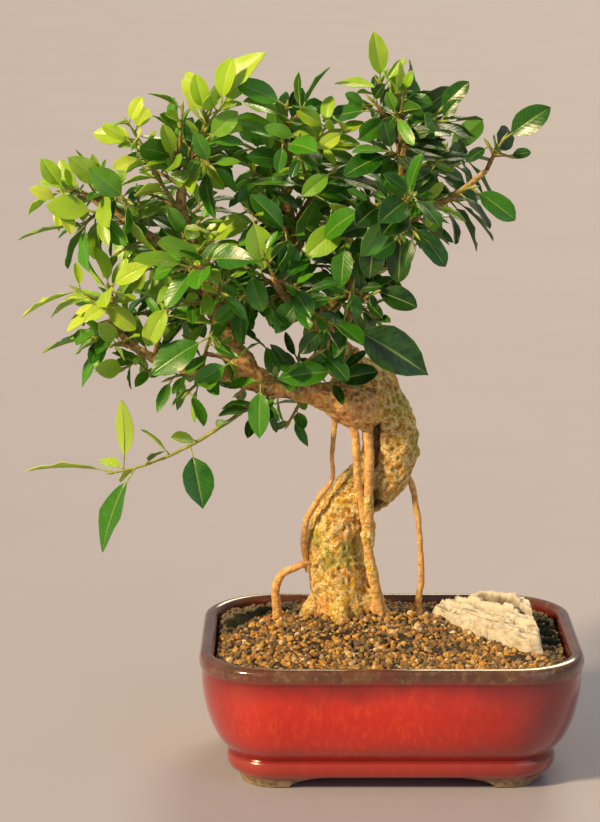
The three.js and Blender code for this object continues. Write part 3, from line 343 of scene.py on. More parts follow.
class Wiring:
    """Adds nodes to a node tree and links them."""

    def __init__(self, tree: bpy.types.NodeTree) -> None:
        self.tree = tree

    def link(self, node: bpy.types.Node, inputs: dict) -> bpy.types.Node:
        """Fills a node's sockets.

        Args:
            node: The node.
            inputs: Numbers, colour codes or outputs of other nodes, by the socket's name or number.

        Returns:
            The node.
        """
        for key, value in inputs.items():
            if isinstance(value, Socket):
                self.tree.links.new(value, node.inputs[key])
            else:
                node.inputs[key].default_value = colour(value) if isinstance(value, str) else value
        return node

    def add(self, kind: str, inputs: dict | None = None, **settings: object) -> bpy.types.Node:
        """Adds a node.

        Args:
            kind: Its type, without the leading ShaderNode.
            inputs: What goes into its sockets.
            settings: Its own settings.

        Returns:
            The node.
        """
        node = self.tree.nodes.new("ShaderNode" + kind)
        for name, value in settings.items():
            setattr(node, name, value)
        return self.link(node, inputs or {})

    def place(self) -> Socket:
        """The point on the surface, in metres in the part's frame."""
        return self.add("TexCoord").outputs["Object"]

    def split(self, vector: Socket) -> list[Socket]:
        """The x, y and z of a vector."""
        return list(self.add("SeparateXYZ", {0: vector}).outputs)

    def stretched(self, vector: Socket, x: float, y: float, z: float) -> Socket:
        """A vector with each part multiplied."""
        return self.add("VectorMath", {0: vector, 1: (x, y, z)}, operation="MULTIPLY").outputs[0]

    def value(self, name: str) -> Socket:
        """A named value of the mesh."""
        return self.add("Attribute", attribute_name=name).outputs["Fac"]

    def sum(self, operation: str, a: Number, b: Number = 0.0, clamp: bool = False) -> Socket:
        """One sum with two numbers."""
        return self.add("Math", {0: a, 1: b}, operation=operation, use_clamp=clamp).outputs[0]

    def plus(self, a: Number, b: Number) -> Socket:
        """Two numbers added."""
        return self.sum("ADD", a, b)

    def minus(self, a: Number, b: Number) -> Socket:
        """One number less another."""
        return self.sum("SUBTRACT", a, b)

    def times(self, a: Number, b: Number) -> Socket:
        """Two numbers multiplied."""
        return self.sum("MULTIPLY", a, b)

    def step(self, value: Socket, low: Number, high: Number, at_low: float = 0, at_high: float = 1) -> Socket:
        """A smooth step of a number between two limits."""
        inputs = {"Value": value, "From Min": low, "From Max": high, "To Min": at_low, "To Max": at_high}
        return self.add("MapRange", inputs, interpolation_type="SMOOTHSTEP").outputs["Result"]

    def mix(self, share: Number, a: Tint, b: Tint, blend: str = "MIX") -> Socket:
        """Two colours mixed."""
        return self.add("Mix", {0: share, 6: a, 7: b}, data_type="RGBA", blend_type=blend).outputs[2]

    def over(self, body: Tint, mask: Socket, strength: float, tint: Tint) -> Socket:
        """A colour laid over another one through a mask."""
        return self.mix(self.times(mask, strength), body, tint)

    def noise(self, vector: Socket, scale: Number, detail: float = 4.0, rough: float = 0.55) -> Socket:
        """Soft noise from 0 to 1."""
        inputs = {"Vector": vector, "Scale": scale, "Detail": detail, "Roughness": rough}
        return self.add("TexNoise", inputs).outputs[0]

    def drift(self, vector: Socket, scale: float, reach: float) -> Socket:
        """Soft noise about nought, by which an edge wanders."""
        return self.times(self.minus(self.noise(vector, scale), 0.5), reach)

    def ramp(self, value: Socket, *stops: tuple[float, str]) -> Socket:
        """A colour that runs through stops, each a place from 0 to 1 and a colour code."""
        node = self.add("ValToRGB", {0: value})
        band = node.color_ramp.elements
        for end in (0, -1):
            band[end].position, band[end].color = stops[end][0], colour(stops[end][1])
        for place, code in stops[1:-1]:
            band.new(place).color = colour(code)
        return node.outputs[0]

    def bump(self, height: Socket, distance: float, strength: float, **before: Socket) -> Socket:
        """A normal bent by a height in metres, on top of a Normal where one is given."""
        inputs = {"Height": height, "Distance": distance, "Strength": strength, **before}
        return self.add("Bump", inputs).outputs[0]

    def group(self, tree: bpy.types.NodeTree, inputs: dict) -> bpy.types.NodeOutputs:
        """The outputs of a shared group with inputs of its own."""
        node = self.add("Group")
        node.node_tree = tree
        return self.link(node, inputs).outputs


def new_group(name: str, outputs: dict[str, str], **starts: object) -> tuple[Wiring, dict, bpy.types.Node]:
    """Starts a shader node group.

    Args:
        name: The group's name.
        outputs: Each output's name with its kind.
        starts: Each input's starting value: a number, a colour code, or None for a vector.

    Returns:
        The group's wiring, its inputs by name, and its output node.
    """
    tree = bpy.data.node_groups.new(name, "ShaderNodeTree")
    for label, start in starts.items():
        kind = {float: "Float", str: "Color"}.get(type(start), "Vector")
        socket = tree.interface.new_socket(label, in_out="INPUT", socket_type="NodeSocket" + kind)
        if start is not None:
            socket.default_value = colour(start) if kind == "Color" else start
    for label, kind in outputs.items():
        tree.interface.new_socket(label, in_out="OUTPUT", socket_type="NodeSocket" + kind)
    given = tree.nodes.new("NodeGroupInput").outputs
    return Wiring(tree), given, tree.nodes.new("NodeGroupOutput")


def mottle_group() -> bpy.types.NodeTree:
    """A group that mixes two colours in soft patches."""
    starts = {"Vector": None, "Scale": 100.0, "Spread": 0.15, "Low": "000000", "High": "ffffff"}
    wiring, given, out = new_group("mottle", {"Color": "Color", "Mask": "Float"}, **starts)
    patches = wiring.noise(given["Vector"], given["Scale"], 6.0, 0.6)
    mask = wiring.step(patches, wiring.minus(0.5, given["Spread"]), wiring.plus(0.5, given["Spread"]))
    wiring.link(out, {"Color": wiring.mix(mask, given["Low"], given["High"]), "Mask": mask})
    return wiring.tree


def relief_group() -> bpy.types.NodeTree:
    """A group that gives a height out of coarse lumps, fine grit and pits."""
    starts = {"Vector": None, "Scale": 300.0, "Grit": 0.3, "Pits": 0.0}
    wiring, given, out = new_group("relief", {"Height": "Float"}, **starts)
    coarse = wiring.noise(given["Vector"], given["Scale"], 5.0, 0.6)
    grit = wiring.noise(given["Vector"], wiring.times(given["Scale"], 4.3), 3.0, 0.6)
    spots = wiring.add("TexVoronoi", {"Vector": given["Vector"], "Scale": given["Scale"]})
    pit = wiring.step(spots.outputs["Distance"], 0.05, 0.35, 1.0, 0.0)
    height = wiring.plus(coarse, wiring.times(grit, given["Grit"]))
    wiring.link(out, {"Height": wiring.minus(height, wiring.times(pit, given["Pits"]))})
    return wiring.tree


def wear_and_shade_group() -> bpy.types.NodeTree:
    """A group that finds a mesh's ridges, where a surface wears, and its hollows, which the finishes darken
    as painted shade.
    """
    wiring, given, out = new_group("wear_and_shade", {"Edge": "Float", "Hollow": "Float"}, Reach=0.06)
    point = wiring.add("NewGeometry").outputs["Pointiness"]
    for label, change in (("Edge", wiring.plus), ("Hollow", wiring.minus)):
        span = {"Value": point, "From Min": 0.5, "From Max": change(0.5, given["Reach"])}
        mask = wiring.add("MapRange", span)
        wiring.link(out, {label: mask.outputs["Result"]})
    return wiring.tree


MOTTLE = mottle_group()
RELIEF = relief_group()
WEAR_AND_SHADE = wear_and_shade_group()


class Finish:
    """The start of a material: its node tree with a principled shader."""

    def __init__(self, name: str) -> None:
        self.material = bpy.data.materials.new(name)
        self.material.use_nodes = True
        self.wiring = Wiring(self.material.node_tree)
        self.shader = self.material.node_tree.nodes["Principled BSDF"]

    def feed(self, **inputs: object) -> bpy.types.Material:
        """Sets the shader's sockets.

        Args:
            inputs: Values or outputs of other nodes by socket name, with _ for a space.

        Returns:
            The material.
        """
        self.wiring.link(self.shader, {name.replace("_", " "): value for name, value in inputs.items()})
        return self.material

    def mottle(self, vector: Socket, scale: float, spread: float, low: Tint, high: Tint) -> Socket:
        """Two colours in soft patches."""
        inputs = {"Vector": vector, "Scale": scale, "Spread": spread, "Low": low, "High": high}
        return self.wiring.group(MOTTLE, inputs)["Color"]

    def patches(self, vector: Socket, scale: float, spread: float) -> Socket:
        """A mask of soft patches."""
        return self.wiring.group(MOTTLE, {"Vector": vector, "Scale": scale, "Spread": spread})["Mask"]

    def relief(self, vector: Socket, scale: float, grit: float, pits: float = 0.0) -> Socket:
        """A height out of lumps, grit and pits."""
        inputs = {"Vector": vector, "Scale": scale, "Grit": grit, "Pits": pits}
        return self.wiring.group(RELIEF, inputs)["Height"]

    def wear_and_shade(self, reach: float) -> tuple[Socket, Socket]:
        """Masks of the worn ridges and of the hollows that get painted shade."""
        outputs = self.wiring.group(WEAR_AND_SHADE, {"Reach": reach})
        return outputs["Edge"], outputs["Hollow"]


@dataclass(frozen=True)
class GlazeFinish:
    """Red stoneware glaze that runs thin and brown on the lip, and leaves the feet bare.

    A painted shade is an axis, two places on it in metres, the mask at each, its strength and its colour. It
    darkens the glaze as painted shade on the band below the lip, the right and the left end, and the foot
    band.
    The other pairs are where a mask's step starts and ends, in metres.
    """

    bright: str = "c92306"
    thin: str = "664426"
    painted_shades: tuple = (
        (2, 0.05, 0.067, 0.0, 1.0, 0.92, "6e0f0a"),
        (0, 0.05, 0.148, 0.0, 1.0, 0.9, "74101a"),
        (0, -0.056, -0.02, 1.0, 0.0, 0.8, "781410"),
        (2, 0.018, 0.034, 1.0, 0.0, 0.65, "86201a"),
    )
    groove: float = 0.0176
    groove_edge: tuple = (0.0002, 0.0022)
    lip: tuple = (0.0645, 0.0685)
    inner_half: tuple = (0.063, 0.037)
    inner_radius: tuple = (0.0344, 0.0358)
    inner_foot: tuple = (0.056, 0.06)
    bare_foot: tuple = (0.0045, 0.0062)

    def inner_wall(self, w: Wiring, axes: list[Socket]) -> Socket:
        """A mask of the wall inside the pot, by the distance from the flat sides' corner, where the red glaze
        gets painted shade.
        """
        beyond = {}
        for axis, half in enumerate(self.inner_half):
            aside = w.sum("ABSOLUTE", w.minus(axes[axis], float(POT_MIDDLE[axis])))
            beyond[axis] = w.sum("MAXIMUM", w.minus(aside, half), 0.0)
        corner = w.add("CombineXYZ", beyond).outputs[0]
        reach = w.add("VectorMath", {0: corner}, operation="LENGTH").outputs["Value"]
        return w.times(w.step(reach, *self.inner_radius, 1.0, 0.0), w.step(axes[2], *self.inner_foot))

    def make(self) -> bpy.types.Material:
        """The glaze's material."""
        f = Finish("red_glaze")
        w = f.wiring
        place = w.place()
        axes = w.split(place)
        body = w.over(self.bright, f.patches(w.stretched(place, 1.0, 1.0, 1.7), 22.0, 0.24), 0.3, "b3200f")
        streak = w.noise(w.stretched(place, 1.0, 1.0, 0.3), 330.0, 5.0, 0.65)
        body = w.mix(w.step(streak, 0.45, 0.75, 0.0, 0.35), body, "ee5a24")
        drift = w.drift(place, 30.0, 0.02)
        # painted shade: the glaze darkens below the lip, towards both ends and on the foot band
        for axis, low, high, at_low, at_high, strength, shade in self.painted_shades:
            mask = w.step(w.plus(axes[axis], drift), low, high, at_low, at_high)
            body = w.over(body, mask, strength, shade)
        groove = w.sum("ABSOLUTE", w.minus(axes[2], self.groove))
        body = w.over(body, w.step(groove, *self.groove_edge, 1.0, 0.0), 0.6, "5c1a12")
        level = w.plus(axes[2], w.drift(place, 60.0, 0.005))
        thin = f.mottle(place, 70.0, 0.2, "3a1e12", self.thin)
        thin = w.mix(w.step(w.noise(place, 260.0, 5.0, 0.7), 0.5, 0.66, 0.0, 0.5), thin, "927a56")
        thin = w.mix(w.step(w.noise(place, 48.0, 3.0), 0.5, 0.62, 0.0, 0.55), thin, "5e1a12")
        body = w.mix(w.step(level, *self.lip), body, thin)
        # the inside wall keeps the red glaze, darkened with painted shade
        body = w.over(body, self.inner_wall(w, axes), 0.75, "5e1410")
        body = w.over(body, f.wear_and_shade(0.05)[0], 0.35, "7a5a4a")
        bare = w.step(level, *self.bare_foot, 1.0, 0.0)
        body = w.mix(bare, body, f.mottle(place, 300.0, 0.2, "5e5038", "a08c68"))
        gloss = w.step(w.noise(place, 90.0), 0.3, 0.8, 0.1, 0.24)
        ripple = w.bump(w.noise(place, 110.0, 2.0), 0.0006, 0.35)
        return f.feed(
            Base_Color=body,
            Roughness=w.sum("MAXIMUM", gloss, w.times(bare, 0.42)),
            Normal=w.bump(f.relief(place, 900.0, 0.4, 0.2), 0.00012, 0.35, Normal=ripple),
            Coat_Weight=w.times(w.sum("SUBTRACT", 1.0, bare, True), 0.7),
            Coat_Roughness=0.06,
        )


@dataclass(frozen=True)
class PatchyFinish:
    """A plain finish of two colours in soft patches, over a fine relief.

    patches holds their scale and spread, relief its scale, grit and pits, bump its height in metres and its
    strength, and rough the scale and spread of its own patches with the least and the most roughness.
    """

    name: str
    dark: str
    light: str
    patches: tuple
    relief: tuple
    bump: tuple
    rough: tuple

    def make(self) -> bpy.types.Material:
        """The finish's material."""
        f = Finish(self.name)
        place = f.wiring.place()
        scale, spread, least, most = self.rough
        return f.feed(
            Base_Color=f.mottle(place, *self.patches, self.dark, self.light),
            Roughness=f.wiring.step(f.patches(place, scale, spread), 0.0, 1.0, least, most),
            Normal=f.wiring.bump(f.relief(place, *self.relief), *self.bump),
        )


SCREEN_PLASTIC = PatchyFinish(
    "screen_plastic", "20231f", "5a4a36", (420, 0.16), (1500, 0.5), (0.0001, 0.6), (420, 0.16, 0.45, 0.85)
)
DARK_EARTH = PatchyFinish(
    "dark_earth", "1d140c", "4a3420", (380, 0.2), (700, 0.6, 0.4), (0.0012, 0.9), (300, 0.2, 0.8, 0.97)
)


@dataclass(frozen=True)
class GritFinish:
    """Fired clay and stone grains from near black through orange to cream."""

    tones: tuple = (
        (0.0, "0a0604"), (0.2, "1e1008"), (0.34, "4e2a0e"), (0.48, "9a5814"), (0.62, "c98a1c"),
        (0.76, "dfae44"), (0.88, "8a5a22"), (1.0, "fae8ba"),
    )

    def make(self) -> bpy.types.Material:
        """The grains' material, which goes by each grain's tone."""
        f = Finish("soil_grains")
        w = f.wiring
        place = w.place()
        body = w.ramp(w.value("tone"), *self.tones)
        body = w.mix(w.step(w.noise(place, 900.0, 4.0), 0.35, 0.7, 0.0, 0.4), body, "5b3a1c", "MULTIPLY")
        body = w.over(body, f.wear_and_shade(0.12)[0], 0.25, "d9b978")
        normal = w.bump(f.relief(place, 1300.0, 0.5, 0.3), 0.0004, 0.8)
        return f.feed(Base_Color=body, Roughness=w.step(w.value("tone"), 0.0, 1.0, 0.5, 0.85), Normal=normal)


@dataclass(frozen=True)
class RockFinish:
    """Pale layered limestone with painted shadow in its cracks."""

    pale: str = "e0dacb"
    tan: str = "c0b498"

    def make(self) -> bpy.types.Material:
        """The rock's material."""
        f = Finish("pale_rock")
        w = f.wiring
        place = w.place()
        body = f.mottle(place, 130.0, 0.2, self.tan, self.pale)
        stain = f.patches(place, 55.0, 0.1)
        body = w.over(body, stain, 0.18, "b59a64")
        # painted shadow along the cracks, on the face of the ridge behind each
        body = w.over(body, w.value("crack"), 0.95, "40331f")
        edge, hollow_shade = f.wear_and_shade(0.05)
        # painted shade in the rock's hollows
        body = w.over(body, hollow_shade, 0.8, "6a5a3e")
        body = w.over(body, edge, 0.5, "efe6d0")
        normal = w.bump(f.relief(place, 480.0, 0.5, 0.35), 0.0009, 0.9)
        return f.feed(Base_Color=body, Roughness=w.step(stain, 0.0, 1.0, 0.75, 0.92), Normal=normal)


@dataclass(frozen=True)
class BarkFinish:
    """Rough tan bark with pale lichen, green algae and orange young cork."""

    brown: str = "965414"
    tan: str = "dc9720"
    yellow: str = "eec230"
    cream: str = "ffeca4"
    name: str = "bark"

    def make(self) -> bpy.types.Material:
        """The bark's material, which goes by the marks painted on the mesh."""
        f = Finish(self.name)
        w = f.wiring
        place = w.place()
        body = f.mottle(place, 190.0, 0.1, self.brown, self.tan)
        body = w.over(body, f.patches(place, 70.0, 0.1), 0.75, self.yellow)
        young = f.mottle(place, 420.0, 0.14, "6a4c22", "a5803c")
        body = w.mix(w.value("thin"), body, young)
        scab = w.times(f.patches(place, 300.0, 0.07), w.step(w.value("thin"), 0.0, 1.0, 0.8, 0.25))
        body = w.mix(scab, body, self.cream)
        fine = w.noise(w.stretched(place, 1.0, 1.0, 1.8), 900.0, 3.0, 0.7)
        body = w.mix(w.step(fine, 0.37, 0.5, 0.8, 0.0), body, "472409")
        green = w.times(w.value("algae"), w.step(w.noise(place, 330.0, 4.0), 0.38, 0.6))
        body = w.over(body, green, 0.85, "8a9a1c")
        orange = w.times(w.value("orange"), w.step(w.noise(place, 240.0, 4.0), 0.25, 0.6, 0.5, 1.0))
        body = w.mix(orange, body, f.mottle(place, 380.0, 0.14, "cc7430", "ffcb84"))
        edge, hollow_shade = f.wear_and_shade(0.07)
        # painted shade in the bark's hollows
        body = w.over(body, hollow_shade, 0.7, "4a280c")
        body = w.over(body, edge, 0.5, "f6d884")
        # painted shade: near black where the dark marks lie, in the crevice and holes
        body = w.mix(w.value("dark"), body, "150c06")
        normal = w.bump(f.relief(place, 420.0, 0.6, 0.5), 0.0012, 0.9)
        rough = w.step(w.noise(place, 500.0), 0.3, 0.7, 0.55, 0.85)
        return f.feed(Base_Color=body, Roughness=rough, Normal=normal)


@dataclass(frozen=True)
class TwigFinish:
    """Smooth young bark, green at the tips and tan where it has turned woody."""

    woody: str = "8c6a38"
    green: str = "86a03a"

    def make(self) -> bpy.types.Material:
        """The twigs' material, which goes by how green each place is."""
        f = Finish("twig_bark")
        w = f.wiring
        place = w.place()
        wood = f.mottle(place, 500.0, 0.12, "5e4322", self.woody)
        stalk = f.mottle(place, 500.0, 0.2, self.green, "b4b85a")
        body = w.mix(w.value("green"), wood, stalk)
        # painted shade in the twigs' hollows
        body = w.over(body, f.wear_and_shade(0.1)[1], 0.5, "3a2a12")
        normal = w.bump(f.relief(w.stretched(place, 1.0, 1.0, 0.5), 1200.0, 0.4), 0.0003, 0.6)
        return f.feed(Base_Color=body, Roughness=w.step(w.value("green"), 0.0, 1.0, 0.7, 0.42), Normal=normal)


@dataclass(frozen=True)
class LeafFinish:
    """A waxy fig leaf with a pale midrib, side veins and a paler underside."""

    name: str
    greens: tuple[str, ...]
    vein: str
    under: str
    gloss: float
    glow: float
    veins: float = 9.0

    def make(self) -> bpy.types.Material:
        """The leaf's material, which goes by the place on the blade and each leaf's tone."""
        f = Finish(self.name)
        w = f.wiring
        place = w.place()
        along, across = w.value("along"), w.value("across")
        side = w.sum("ABSOLUTE", across)
        tone = w.value("tone")
        body = w.ramp(tone, *zip((0.0, 0.35, 0.7, 1.0), self.greens))
        body = w.over(body, f.patches(place, 160.0, 0.2), 0.22, self.greens[2])
        slant = w.minus(w.times(along, self.veins), w.times(side, 2.1))
        wave = w.sum("ABSOLUTE", w.minus(w.sum("FRACT", slant), 0.5))
        vein = w.times(w.step(wave, 0.0, 0.09, 1.0, 0.0), w.step(side, 0.8, 0.98, 1.0, 0.0))
        rib = w.step(side, 0.02, 0.085, 1.0, 0.0)
        body = w.over(body, vein, 0.1, self.vein)
        body = w.over(body, rib, 0.6, self.vein)
        body = w.mix(w.step(side, 0.93, 1.0, 0.0, 0.25), body, self.vein)
        body = w.over(body, w.value("under"), 0.65, self.under)
        quilt = w.minus(w.step(wave, 0.0, 0.5), w.times(rib, 1.5))
        normal = w.bump(quilt, 0.00008, 0.35)
        normal = w.bump(f.relief(place, 1100.0, 0.3), 0.00012, 0.5, Normal=normal)
        rough = w.step(w.noise(place, 300.0), 0.3, 0.7, self.gloss - 0.06, self.gloss + 0.08)
        rough = w.plus(rough, w.times(w.value("under"), 0.25))
        return f.feed(
            Base_Color=body,
            Roughness=rough,
            Normal=normal,
            Subsurface_Weight=self.glow,
            Subsurface_Radius=(0.35, 0.9, 0.1),
            Subsurface_Scale=0.0016,
        )


@dataclass(frozen=True)
class MossFinish:
    """Dark cushion moss with paler tips."""

    deep: str = "0f120a"
    tip: str = "3c4a1c"

    def make(self) -> bpy.types.Material:
        """The moss's material, which goes by how near the tip of a shoot a place is."""
        f = Finish("moss")
        w = f.wiring
        place = w.place()
        low = f.mottle(place, 500.0, 0.2, self.deep, "22280f")
        body = w.mix(w.value("tip"), low, self.tip)
        normal = w.bump(f.relief(place, 1600.0, 0.6, 0.4), 0.0006, 0.8)
        return f.feed(Base_Color=body, Roughness=w.step(w.value("tip"), 0.0, 1.0, 0.95, 0.8), Normal=normal)


@dataclass(frozen=True)
class FloorFinish:
    """A plain pale floor."""

    pale: str = "a7a4b1"

    def make(self) -> bpy.types.Material:
        """The floor's material."""
        f = Finish("pale_floor")
        place = f.wiring.place()
        body = f.mottle(place, 3.0, 0.4, self.pale, "aca9b4")
        return f.feed(Base_Color=body, Roughness=0.75)


def refinish(node: str, finish: bpy.types.Material) -> None:
    """Gives a kept CAD node a finish of its own."""
    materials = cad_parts[node].data.materials
    materials.clear()
    materials.append(finish)


def dress(piece: bpy.types.Object, finish: bpy.types.Material, slot: Slot, *nodes: str) -> bpy.types.Object:
    """Gives a new piece its finish and its place in the part.

    Args:
        piece: The piece.
        finish: Its material.
        slot: The record's slot that the finish belongs to. It is not used.
        nodes: The CAD nodes that it stands for.

    Returns:
        The piece.
    """
    piece.data.materials.append(finish)
    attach(piece, "root")
    if nodes:
        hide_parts(*nodes)
    return piece


# ------------------------------------------------------------------------------------------------- pot


@dataclass
class Pot:
    """The glazed stoneware pot, with arched feet, a rolled lip and two drain holes.

    outside and inside hold the wall's profile as heights and insets. side_x and side_y hold where a ring's
    points lie along half a side, the first where the corner's curve starts.
    """

    width: float = 210
    depth: float = 158
    corner: float = 42
    least_corner: float = 8
    corner_steps: int = 14
    outside: tuple = (
        (0, 23), (2.5, 22), (6.5, 20), (8.5, 16.4), (11, 15.1), (13.6, 14.7), (16, 15), (17.5, 16.4),
        (19.5, 15), (26, 9.8), (35, 5.6), (44, 3.1), (54, 1.5), (64, 1.1), (65.5, 0.2), (67.5, -0.1),
        (69.5, 0), (72, 1), (73, 3.4),
    )
    inside: tuple = (
        (73, 5.6), (71.4, 7.6), (68, 8.2), (63, 8.6), (46, 11), (30, 16.5), (20, 22.5), (15.2, 26), (14, 30),
    )
    crest: tuple = (4.5, 0, 73.15, 1)
    foot_inner: float = 38
    foot_sole: float = 23.8
    foot_heights: tuple = (0.5, 1.5, 2.5, 4, 5.5, 6.5, 7.2, 7.9, 8.5)
    foot_steps: int = 34
    foot_top: float = 8.5
    underside: float = 7.6
    arch_x: float = 56
    arch_y: float = 32
    arch_reach: float = 21
    arch_rise: float = 7.4
    arch_bend: tuple = (2, 5.18)
    hole_spacing: float = 90
    hole_radius: float = 7
    hole_heights: tuple = (2.0, 12.0, 22.0)
    crease: float = 40
    side_x: tuple = (63, 60, 57.5, 56, 55.6, 55, 54.2, 53, 51, 48, 44, 39, 35, 28, 21, 14, 7)
    side_y: tuple = (37, 34.5, 33, 32, 31.6, 31, 30.2, 29, 27, 24, 20, 15, 11, 5.5)

    def side(self, steps: tuple, arch: float, end: float) -> Array:
        """Places along a side, from end to end, with those outside the arch spread to the corners."""
        places = np.array(steps[1:] + (0,) + tuple(-step for step in steps[:0:-1]), float)
        spread = arch + (np.abs(places) - arch) * (end - arch) / (steps[0] - arch)
        return np.sign(places) * np.where(np.abs(places) > arch, spread, np.abs(places))

    def ring(self, inset: float, z: float) -> Array:
        """A level rounded rectangle, counter-clockwise seen from above."""
        half_x, half_y = self.width / 2 - inset, self.depth / 2 - inset
        radius = max(self.corner - inset, self.least_corner)
        turn = np.linspace(0, np.pi / 2, self.corner_steps + 1)
        arc = np.stack([half_x - radius + radius * np.cos(turn), half_y - radius + radius * np.sin(turn)], -1)
        back = self.side(self.side_x, self.arch_x, half_x - radius)
        left = self.side(self.side_y, self.arch_y, half_y - radius)
        half = np.vstack(
            [
                arc,
                np.stack([back, np.full(len(back), half_y)], -1),
                (arc * (-1, 1))[::-1],
                np.stack([np.full(len(left), -half_x), left], -1),
            ]
        )
        flat = np.vstack([half, -half])
        return np.column_stack([flat, np.full(len(flat), float(z))])

    def arch(self, place: Array, half: float) -> Array:
        """How high the foot is cut away at a distance from the middle of a side, on a quadratic curve."""
        inward = np.clip(half - np.abs(place), 0, self.arch_reach)
        bend, height = self.arch_bend
        run = self.arch_reach - 2 * bend
        share = (-bend + np.sqrt(bend**2 + run * inward)) / run
        return np.where(inward > 0, 2 * height * share + (self.arch_rise - 2 * height) * share**2, 0)

    def lifted(self, z: float, inset: float | None = None) -> Array:
        """A ring of the foot, raised over the arches."""
        heights, insets = np.array(self.outside).T
        flat = self.ring(np.interp(z, heights, insets) if inset is None else inset, z)
        rise = np.maximum(self.arch(flat[:, 0], self.arch_x), self.arch(flat[:, 1], self.arch_y))
        new_z = rise + z * (self.foot_top - rise) / self.foot_top
        if inset is not None:
            return np.column_stack([flat[:, :2], np.minimum(new_z, self.underside)])
        fine = np.linspace(0, self.foot_top, self.foot_steps + 1)
        family = np.stack([self.ring(np.interp(h, heights, insets), h)[:, :2] for h in fine])
        place = np.clip(new_z / self.foot_top * self.foot_steps, 0, self.foot_steps - 0.001)
        low = place.astype(int)
        part = (place - low)[:, None]
        index = np.arange(len(flat))
        return np.column_stack([family[low, index] * (1 - part) + family[low + 1, index] * part, new_z])

    def build(self) -> bpy.types.Object:
        """Makes the pot's mesh and cuts its drain holes."""
        rings = [self.ring(self.foot_inner + 1.2, self.underside)]
        soles = ((4.0, self.foot_inner + 0.6), (0.6, self.foot_inner), (0.0, self.foot_inner - 0.8))
        rings += [self.lifted(z, inset) for z, inset in (*soles, (0.0, self.foot_sole))]
        rings += [self.lifted(z) for z in self.foot_heights]
        outer = [(inset, 0, z, 1) for z, inset in self.outside if z >= self.foot_top]
        inner = [(inset, 0, z, 1) for z, inset in self.inside]
        for route, step in (([*outer, self.crest], 1.6), ([self.crest, *inner], 1.8)):
            rings += [self.ring(inset, z) for inset, _, z, _ in smooth_route(route, step)[1:]]
        floor = rings[-1]
        rings += [floor * (share, share, 1) for share in (0.75, 0.45, 0.15)]
        shape = Shape()
        points = np.vstack([*rings, [(0, 0, self.underside), (0, 0, floor[0, 2])]])
        shape.add(points, *skin_faces(len(rings), len(floor)))
        pot = shape.build("glazed_pot", self.crease)
        for side in (-1, 1):
            self.drill(pot, side * self.hole_spacing / 2)
        return pot

    def drill(self, pot: bpy.types.Object, x: float) -> None:
        """Cuts one round drain hole."""
        cutter_shape = Shape()
        path = np.array([(x, 0.0, z) for z in self.hole_heights])
        add_tube(cutter_shape, path, np.full(len(path), self.hole_radius), 48)
        cutter = cutter_shape.build("drill")
        cut = pot.modifiers.new("drain", "BOOLEAN")
        cut.object, cut.operation, cut.solver = cutter, "DIFFERENCE", "EXACT"
        apply_modifiers(pot)
        bpy.data.objects.remove(cutter)

    def dress(self) -> bpy.types.Object:
        """Builds and glazes the pot."""
        return dress(self.build(), GlazeFinish().make(), Slot.GLAZE, "pot")


def apply_modifiers(piece: bpy.types.Object) -> None:
    """Turns a piece with modifiers into its final mesh."""
    graph = bpy.context.evaluated_depsgraph_get()
    old = piece.data
    piece.data = bpy.data.meshes.new_from_object(piece.evaluated_get(graph))
    piece.modifiers.clear()
    piece.data.name = piece.name
    bpy.data.meshes.remove(old)


# ------------------------------------------------------------------------------------------------ soil


